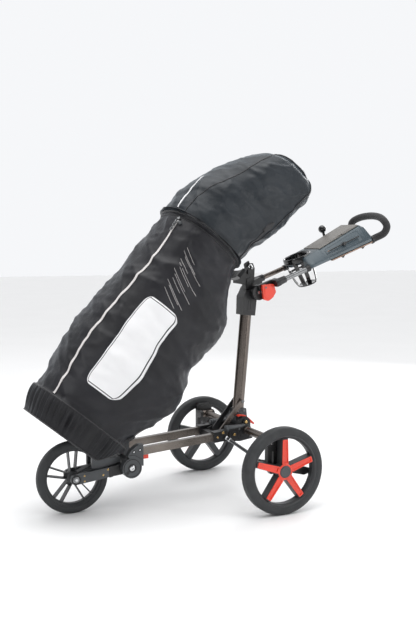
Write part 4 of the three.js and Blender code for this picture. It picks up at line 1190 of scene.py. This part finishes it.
PRESSED_DEPTH = 9.0  # of the creases added to the draped cloth


def press_folds(obj, rows, depth, seed, flat_panel):
    """Adds sharp slanting creases, made from noise, and leaves the printed panel nearly smooth."""
    for v in obj.data.vertices:
        x, y, z = v.co.x * 1000, (v.co.y - REAR_AXLE_Y) * 1000, v.co.z * 1000
        up = BAG_TILT[0] * y + BAG_TILT[1] * z
        rear, front, _ = bag_size(up, rows)
        out = BAG_TILT[0] * z - BAG_TILT[1] * y - (rear + front) / 2
        away = Vector((x, -BAG_TILT[1] * out, BAG_TILT[0] * out))
        if away.length < 1:
            continue
        away.normalize()
        turn = math.atan2(out, x)
        slant = up * 0.013 + 2.2 * away.x + 1.1 * away.z
        first = 1 - abs(noise.noise(Vector((slant, away.y * 1.6 - up * 0.004, seed)))) * 2.4
        second = 1 - abs(noise.noise(Vector((up * 0.03 - 1.8 * away.x, away.z * 2.6, seed + 9)))) * 2.4
        lift = 0.65 * max(0.0, first) ** 3 + 0.4 * max(0.0, second) ** 3 - 0.3
        calm = 1.0
        if flat_panel:
            calm -= 0.85 * math.exp(-((turn - PANEL["turn"]) / 0.42) ** 4
                                    - ((up - PANEL["up"]) / 205) ** 4)
        ends = min(1.0, max(0.0, (up - rows[0][0] - 8) / 60), max(0.0, (rows[-1][0] - up) / 40))
        v.co += away * (depth * lift * calm * ends / 1000)
    obj.data.update()


FRAMES = 36  # of the cloth simulation


def drape(obj, hull_part, held, spare, most):
    """Simulates the cloth over the bag inside it, with spare cloth, light gravity and held edges.

    No point ends up further than a most number of mm from where it started."""
    mesh = obj.data
    start = np.zeros(len(mesh.vertices) * 3, np.float32)
    mesh.vertices.foreach_get("co", start)
    group = obj.vertex_groups.new(name="held")
    for index, weight in held.items():
        group.add([index], weight, "REPLACE")
    loose = obj.vertex_groups.new(name="spare")
    for index, weight in spare.items():
        loose.add([index], weight, "REPLACE")

    inside = bpy.data.meshes.new("inside")
    inside.from_pydata([place(*v) for v in hull_part[0]], [], hull_part[1])
    hull = bpy.data.objects.new("inside", inside)
    bpy.context.collection.objects.link(hull)
    hull.modifiers.new("hit", "COLLISION")
    hull.collision.thickness_outer = 0.002
    hull.collision.cloth_friction = 12

    mod = obj.modifiers.new("cloth", "CLOTH")
    cloth = mod.settings
    cloth.quality = 5
    cloth.mass = 0.12
    cloth.tension_stiffness = cloth.compression_stiffness = 18
    cloth.shear_stiffness = 6
    cloth.bending_stiffness = 0.06
    cloth.air_damping = 2
    cloth.vertex_group_mass = "held"
    cloth.pin_stiffness = 1
    cloth.vertex_group_shrink = "spare"
    cloth.shrink_min, cloth.shrink_max = 0, -0.13
    cloth.effector_weights.gravity = 0.3
    mod.collision_settings.distance_min = 0.002
    mod.collision_settings.use_self_collision = False
    mod.point_cache.frame_start, mod.point_cache.frame_end = 1, FRAMES
    scene = bpy.context.scene
    for number in range(1, FRAMES + 1):
        scene.frame_set(number)
    shaped = obj.evaluated_get(bpy.context.evaluated_depsgraph_get())
    end = np.zeros(len(start), np.float32)
    shaped.data.vertices.foreach_get("co", end)
    shift = (end - start).reshape(-1, 3)
    far = np.linalg.norm(shift, axis=1, keepdims=True)
    shift *= np.minimum(1, most / 1000 / np.maximum(far, 1e-9))
    obj.modifiers.remove(mod)
    obj.vertex_groups.clear()
    mesh.vertices.foreach_set("co", (start.reshape(-1, 3) + shift).ravel())
    mesh.update()
    bpy.data.objects.remove(hull)
    bpy.data.meshes.remove(inside)
    scene.frame_set(1)


def surface_of(obj):
    """A tree of the piece's surface as shown, in mm from the ground under the rear axle."""
    shaped = obj.evaluated_get(bpy.context.evaluated_depsgraph_get())
    mesh = shaped.to_mesh()
    points = [Vector((v.co.x * 1000, (v.co.y - REAR_AXLE_Y) * 1000, v.co.z * 1000))
              for v in mesh.vertices]
    tree = BVHTree.FromPolygons(points, [tuple(p.vertices) for p in mesh.polygons])
    shaped.to_mesh_clear()
    return tree


def on_cloth(tree, up, turn, proud, rows):
    """The place on the draped cloth at a height and a turn, a little proud of it."""
    outside = Vector(bag_point(up, turn, 60, rows))
    inside = Vector(bag_point(up, turn, -60, rows))
    spot, *_ = tree.ray_cast(outside, (inside - outside).normalized())
    if spot is None:
        return Vector(bag_point(up, turn, proud, rows))
    return spot + (outside - spot).normalized() * proud


def ribbon(tree, lines, heights, rows, closed=False):
    """A strip on the cloth: lines of (up, turn) places across it, each with its height."""
    across = len(heights)
    verts = [on_cloth(tree, up, turn, height, rows)
             for line in lines for (up, turn), height in zip(line, heights)]
    count = len(lines)
    faces = [(r * across + k, (r + 1) % count * across + k, (r + 1) % count * across + k + 1,
              r * across + k + 1) for r in range(count if closed else count - 1)
             for k in range(across - 1)]
    return verts, faces


def cord_on(tree, places, proud, radius, rows, closed=False, sides=10):
    """Piping: a round cord that follows places on the cloth."""
    return tube([on_cloth(tree, up, turn, proud, rows) for up, turn in places], radius, sides, closed)


def rain_cover():
    """The lower cover: a tube of cloth from its hem to its collar, draped over the bag."""
    around = 132
    ups = [HEM + (COLLAR + 4 - HEM) * n / 80 for n in range(81)]
    cover = piece("cover", [shell(ups, around, -2, BAG_ROWS)], "bag", COVER,
                  "rain_cover", degrees=180)
    creases(cover, BAG_ROWS, 8.0, 3.1)
    held, spare = {}, {}
    for n, up in enumerate(ups):
        for k in range(around):
            index = n * around + k
            turn = 360 * k / around
            edge = min(n, len(ups) - 1 - n)
            held[index] = (1.0, 0.85, 0.4, 0.1)[edge] if edge < 4 else 0.0
            panel = math.exp(-(((turn + 180) % 360 - 180 - 16) / 26) ** 2
                             - ((up - 140) / 210) ** 4)
            seam = math.exp(-((turn - 58) / 13) ** 2)
            spare[index] = min(1.0, max(0.08, 0.62 - 0.5 * panel + 0.5 * seam))
    hull = shell([HEM - 10 + (COLLAR + 20 - HEM) * n / 40 for n in range(41)], 96, -12, BAG_ROWS)
    drape(cover, hull, held, spare, 15)
    press_folds(cover, BAG_ROWS, PRESSED_DEPTH, 4.2, True)
    finer = cover.modifiers.new("finer", "SUBSURF")
    finer.levels = finer.render_levels = 1
    return cover


def rain_hood():
    """The hood: a tapering tube of cloth that leans back and closes over the club heads."""
    around = 116
    ups = [600.5 + (1031 - 600.5) * n / 54 for n in range(55)]
    hood = piece("hood", [shell(ups, around, -2, HOOD_ROWS, True)], "bag", HOOD,
                 "rain_hood", degrees=180)
    creases(hood, HOOD_ROWS, 4.5, 8.7)
    held, spare = {}, {}
    for n in range(len(ups) + 4):
        for k in range(around):
            index = n * around + k
            turn = 360 * k / around
            up = ups[min(n, len(ups) - 1)]
            low = n if n < 3 else 9
            held[index] = (1.0, 0.8, 0.3)[low] if low < 3 else (0.85 if n >= len(ups) - 1 else 0.0)
            front = math.exp(-((turn - 90) / 42) ** 2)
            spare[index] = max(0.1, 0.8 - 0.6 * front - 0.2 * (up > 1000))
    hull = shell([590 + (1022 - 590) * n / 40 for n in range(41)], 96, -12, HOOD_ROWS, True)
    drape(hood, hull, held, spare, 14)
    press_folds(hood, HOOD_ROWS, PRESSED_DEPTH, 11.6, False)
    finer = hood.modifiers.new("finer", "SUBSURF")
    finer.levels = finer.render_levels = 1
    return hood


def skirt():
    """The gathered band below the hem, drawn in under the bag by its elastic."""
    around, rows = 420, 14

    def foot(turn):
        """Where the band ends: it hangs low in front and at the sides, and rises behind."""
        from_front = abs((math.degrees(turn) + 90) % 360 - 180)
        rise = min(1.0, max(0.0, (from_front - 108) / 34))
        return -212 + 60 * rise * rise * (3 - 2 * rise)

    verts = []
    for n in range(rows + 1):
        t = n / rows
        for k in range(around):
            turn = 2 * math.pi * k / around
            up = HEM + 1 + (foot(turn) - HEM - 1) * t
            wander = 1.6 * noise.noise(Vector((math.cos(turn) * 2.4, math.sin(turn) * 2.4, 0.3)))
            fold = math.sin(turn * 46 + wander * 6) + 0.6 * math.sin(turn * 79 - wander * 9 + 1.1)
            deep = 0.8 + 2.6 * math.sin(math.pi * min(1, t * 1.1)) * (0.7 + 0.5 * wander)
            verts.append(bag_point(up, turn, -3 - 4 * t ** 3 + fold * deep, SKIRT_ROWS))
    faces = [(r * around + k, r * around + (k + 1) % around,
              (r + 1) * around + (k + 1) % around, (r + 1) * around + k)
             for r in range(rows) for k in range(around)]
    band = piece("gathered_skirt", [(verts, faces)], "bag", SKIRT, "cover_skirt",
                 degrees=180)
    turns = [2 * math.pi * k / 160 for k in range(160)]
    elastic = tube([bag_point(foot(t), t, -6.5, SKIRT_ROWS) for t in turns], 2.4, 8, True)
    piece("skirt_elastic", [elastic], "bag", TRIM)

    # the bag's moulded foot
    rings = [(-150, -10), (-166, -8), (-170, -11), (-172, -16), (-172, -60), (-169.5, -66)]
    steps = 96
    verts = [bag_point(up, 2 * math.pi * k / steps, grow - 6 * (n > 3))
             for n, (up, grow) in enumerate(rings) for k in range(steps)]
    faces = [(r * steps + k, r * steps + (k + 1) % steps,
              (r + 1) * steps + (k + 1) % steps, (r + 1) * steps + k)
             for r in range(len(rings) - 1) for k in range(steps)]
    faces += [tuple(range(steps)), tuple(range((len(rings) - 1) * steps, len(rings) * steps))]
    piece("bag_foot", [(verts, faces)], "bag", BLACK, "bag_base")
    return band


ZIP_TURN = math.radians(58)
PANEL = dict(up=137, turn=math.radians(16.5), half_up=172, half_turn=math.radians(17.3), radius=28)


def cover_trim(tree):
    """The zip, its pull, the printed panel, the fine stripes and the piping of the lower cover."""
    ups = [HEM + 8 + (572 - HEM - 8) * n / 96 for n in range(97)]
    per = math.radians(0.225)  # turn per mm at the zip

    def track(offsets):
        return [[(up, ZIP_TURN + o * per + 0.012 * math.sin(up / 90)) for o in offsets] for up in ups]

    flap = ribbon(tree, track((-9.5, -8.5, -5, 5, 8.5, 9.5)), (-1, 0.8, 1.2, 1.2, 0.8, -1), BAG_ROWS)
    tape = ribbon(tree, track((-6, -5.5, 0, 5.5, 6)), (0.6, 2.2, 2.6, 2.2, 0.6), BAG_ROWS)
    piece("zip_tape", [flap, painted(tape, 1)], "bag", [TRIM, PALE_TAPE], degrees=60)

    top = on_cloth(tree, 574, ZIP_TURN, 3, BAG_ROWS)
    ahead = (on_cloth(tree, 560, ZIP_TURN, 3, BAG_ROWS) - top).normalized()
    out = (top - Vector(bag_point(574, ZIP_TURN, -60))).normalized()
    side = ahead.cross(out)
    puller = [tube(smooth_path([top + ahead * a + side * s + out * h for a, s, h in (
        (0, -5, 1), (6, -6, 3), (12, -4, 4), (14, 0, 4), (12, 4, 4), (6, 6, 3), (0, 5, 1))], 5),
        1.5, 8)]
    for n in range(4):
        centre = top + ahead * (12 + 9 * n) + side * (2.2 * math.sin(n * 2.1)) + out * 3.4
        tilt = (side if n % 2 else out)
        loop = [centre + ahead * 6.4 * math.cos(2 * math.pi * k / 16)
                + tilt * 3.8 * math.sin(2 * math.pi * k / 16) for k in range(16)]
        puller.append(tube(loop, 1.3, 8, True))
    puller.append(turned([(0, 0), (0, 5), (3, 5.6), (5, 5), (5, 0)], top - ahead * 5, tuple(out), 24))
    piece("zip_pull", puller, "bag", SATIN)
    lock = on_cloth(tree, 566, ZIP_TURN - math.radians(6), 2, BAG_ROWS)
    piece("cord_lock", [ball(lock + out * 3, 6.5, tuple(out)), disc(-3, 4, 4, lock, tuple(ahead))],
          "bag", SLATE, bevel=0.5)

    # the panel: columns and rows whose spacing makes its border's lines
    half = PANEL["half_up"]
    wide = 78.0
    corner = PANEL["radius"]
    borders = (0, 1.2, 5.0, 8.0)

    def spread(size, steps):
        near = [size - b for b in borders]
        inner = list(np.linspace(near[-1], -near[-1], steps)[1:-1])
        return near + inner + [-v for v in reversed(near)]

    rows_up, cols = spread(half, 58), spread(wide, 22)
    verts, faces, paints = [], [], []
    for v in rows_up:
        past = max(0.0, abs(v) - (half - corner))
        pinch = corner - math.sqrt(max(0.0, corner ** 2 - past ** 2))
        for c in cols:
            share = c / wide
            place_turn = PANEL["turn"] + share * PANEL["half_turn"] * (wide - pinch) / wide
            height = 0.2 if abs(v) == half or abs(c) == wide else 1.5
            verts.append(on_cloth(tree, PANEL["up"] + v, place_turn, height, BAG_ROWS))
    count = len(cols)
    for r in range(len(rows_up) - 1):
        for k in range(count - 1):
            faces.append((r * count + k, (r + 1) * count + k, (r + 1) * count + k + 1,
                          r * count + k + 1))
            edge = min(r, k, len(rows_up) - 2 - r, count - 2 - k)
            paints.append(1 if edge == 2 else 0)
    white = (verts, [f for f, p in zip(faces, paints) if not p])
    black = (verts, [f for f, p in zip(faces, paints) if p], 1)
    piece("cover_panel", [white, black], "bag", [WHITE, TRIM], degrees=60)

    # fine pale stripes between the collar and the panel
    stripes = []
    for n in range(12):
        start_up = 508 - 13.6 * n
        length = 58 + 60 * abs(math.sin(n * 1.9 + 0.4)) ** 2
        first = math.radians(26 + 2.4 * math.sin(n * 2.3))
        places = [(start_up - 0.46 * length * k / 8, first - length * per * k / 8) for k in range(9)]
        lines = [[(up - 0.55, turn), (up + 0.55, turn)] for up, turn in places]
        stripes.append(ribbon(tree, lines, (0.7, 0.7), BAG_ROWS))
    piece("cover_stripes", stripes, "bag", PALE_TAPE, degrees=60)

    full = [2 * math.pi * k / 168 for k in range(168)]
    cords = [cord_on(tree, [(HEM + 1.5, t) for t in full], 1.0, 3.2, BAG_ROWS, True),
             cord_on(tree, [(COLLAR - 2 + 3 * math.sin(t * 2 + 1), t) for t in full], 1.0, 4.6,
                     BAG_ROWS, True),
             cord_on(tree, [(COLLAR - 17 + 3 * math.sin(t * 2 + 1), t) for t in full], 0.4, 1.6,
                     BAG_ROWS, True)]
    piece("cover_piping", cords, "bag", TRIM)


def hood_trim(tree):
    """Seam piping, the short zip at the front, and the tab with its strap on the near side."""
    seams = []
    for flip in (1, -1):
        route = [(612, 56), (660, 54), (720, 50), (767, 46), (820, 44), (880, 44), (963, 50),
                 (995, 58), (1016, 66)]
        places = smooth_path([(up, flip * turn if flip > 0 else 180 - turn, 0) for up, turn in route], 7)
        seams.append(cord_on(tree, [(p.x, math.radians(p.y)) for p in places], 0.7, 1.5, HOOD_ROWS))
        rear = [(640, -50), (760, -46), (880, -44), (960, -42), (1006, -40), (1022, -20), (1024, 30),
                (1020, 66)]
        places = smooth_path([(up, turn if flip > 0 else 180 - turn, 0) for up, turn in rear], 7)
        seams.append(cord_on(tree, [(p.x, math.radians(p.y)) for p in places], 0.9, 2.2, HOOD_ROWS))
    brow = [(1018, math.radians(t)) for t in range(60, 121, 4)]
    seams.append(cord_on(tree, brow, 0.8, 2.2, HOOD_ROWS))
    piece("hood_piping", seams, "bag", TRIM)

    places = smooth_path([(616, 72, 0), (680, 73, 0), (720, 75, 0), (745, 78, 0), (770, 83, 0)], 8)
    lines = [[(p.x, math.radians(p.y + o)) for o in (-1.3, -1.1, 0, 1.1, 1.3)] for p in places]
    piece("hood_zip", [ribbon(tree, lines, (0.2, 2, 2.4, 2, 0.2), HOOD_ROWS)], "bag", WHITE,
          degrees=60)

    # a teardrop tab and the strap that runs down from it
    tab = []
    for n in range(13):
        up = 790 - 50 * n / 12
        half = math.radians(4.6 * math.sin(math.pi * min(0.96, (n + 1.2) / 16)) + 0.6)
        middle_turn = math.radians(-36)
        tab.append([(up, middle_turn + half * s) for s in (-1, -0.9, 0, 0.9, 1)])
    strap = []
    for n in range(30):
        up = 766 - 160 * n / 29
        middle_turn = math.radians(-36 - 16 * n / 29)
        strap.append([(up, middle_turn + math.radians(1.7) * s) for s in (-1, -0.9, 0, 0.9, 1)])
    piece("hood_tab", [ribbon(tree, tab, (0.4, 3, 4, 3, 0.4), HOOD_ROWS),
                       ribbon(tree, strap, (0.3, 2, 2.2, 2, 0.3), HOOD_ROWS)], "bag", TRIM,
          degrees=60)


def lower_strap(tree):
    """The strap and small buckle that hold the cover's lower corner down by the rail."""
    turn = math.radians(-52)
    start = on_cloth(tree, -80, turn, 2, BAG_ROWS)
    out = (start - Vector(bag_point(-80, turn, -60))).normalized()
    web = [[(-46 - 8 * n, math.radians(-52 + s * 2.6)) for s in (-1, -0.9, 0, 0.9, 1)]
           for n in range(9)]
    parts = [ribbon(tree, web, (0.3, 1.8, 2, 1.8, 0.3), BAG_ROWS)]
    down = (on_cloth(tree, -108, turn, 2, BAG_ROWS) - start).normalized()
    side = down.cross(out)
    frame_shape = [start + down * (10 + a) + side * s + out * 4 for a, s in (
        (-9, -9), (9, -9), (11, 0), (9, 9), (-9, 9), (-11, 0))]
    parts.append(tube(smooth_path(frame_shape, 5, True), 2.4, 10, True))
    parts.append(tube([start + down * 10 + side * s + out * 5 for s in (-9, 0, 9)], 2.0, 10))
    piece("cover_buckle", parts, "bag", TRIM, degrees=60)


# ---------------------------------------------------------------- everything
make_camera()
make_studio()
frame_parts()
links()
carriers()
for hand, label in SIDES:
    rear_wheel(hand, label)
front_wheel()
fork_parts()
upright_parts()
pedal()
handle_parts()
console()
lid()
console_details()
cup_cage()
grip()
knob()
cover = rain_cover()
hood = rain_hood()
skirt_band = skirt()
cover_tree, hood_tree = surface_of(cover), surface_of(hood)
cover_trim(cover_tree)
hood_trim(hood_tree)
lower_strap(cover_tree)
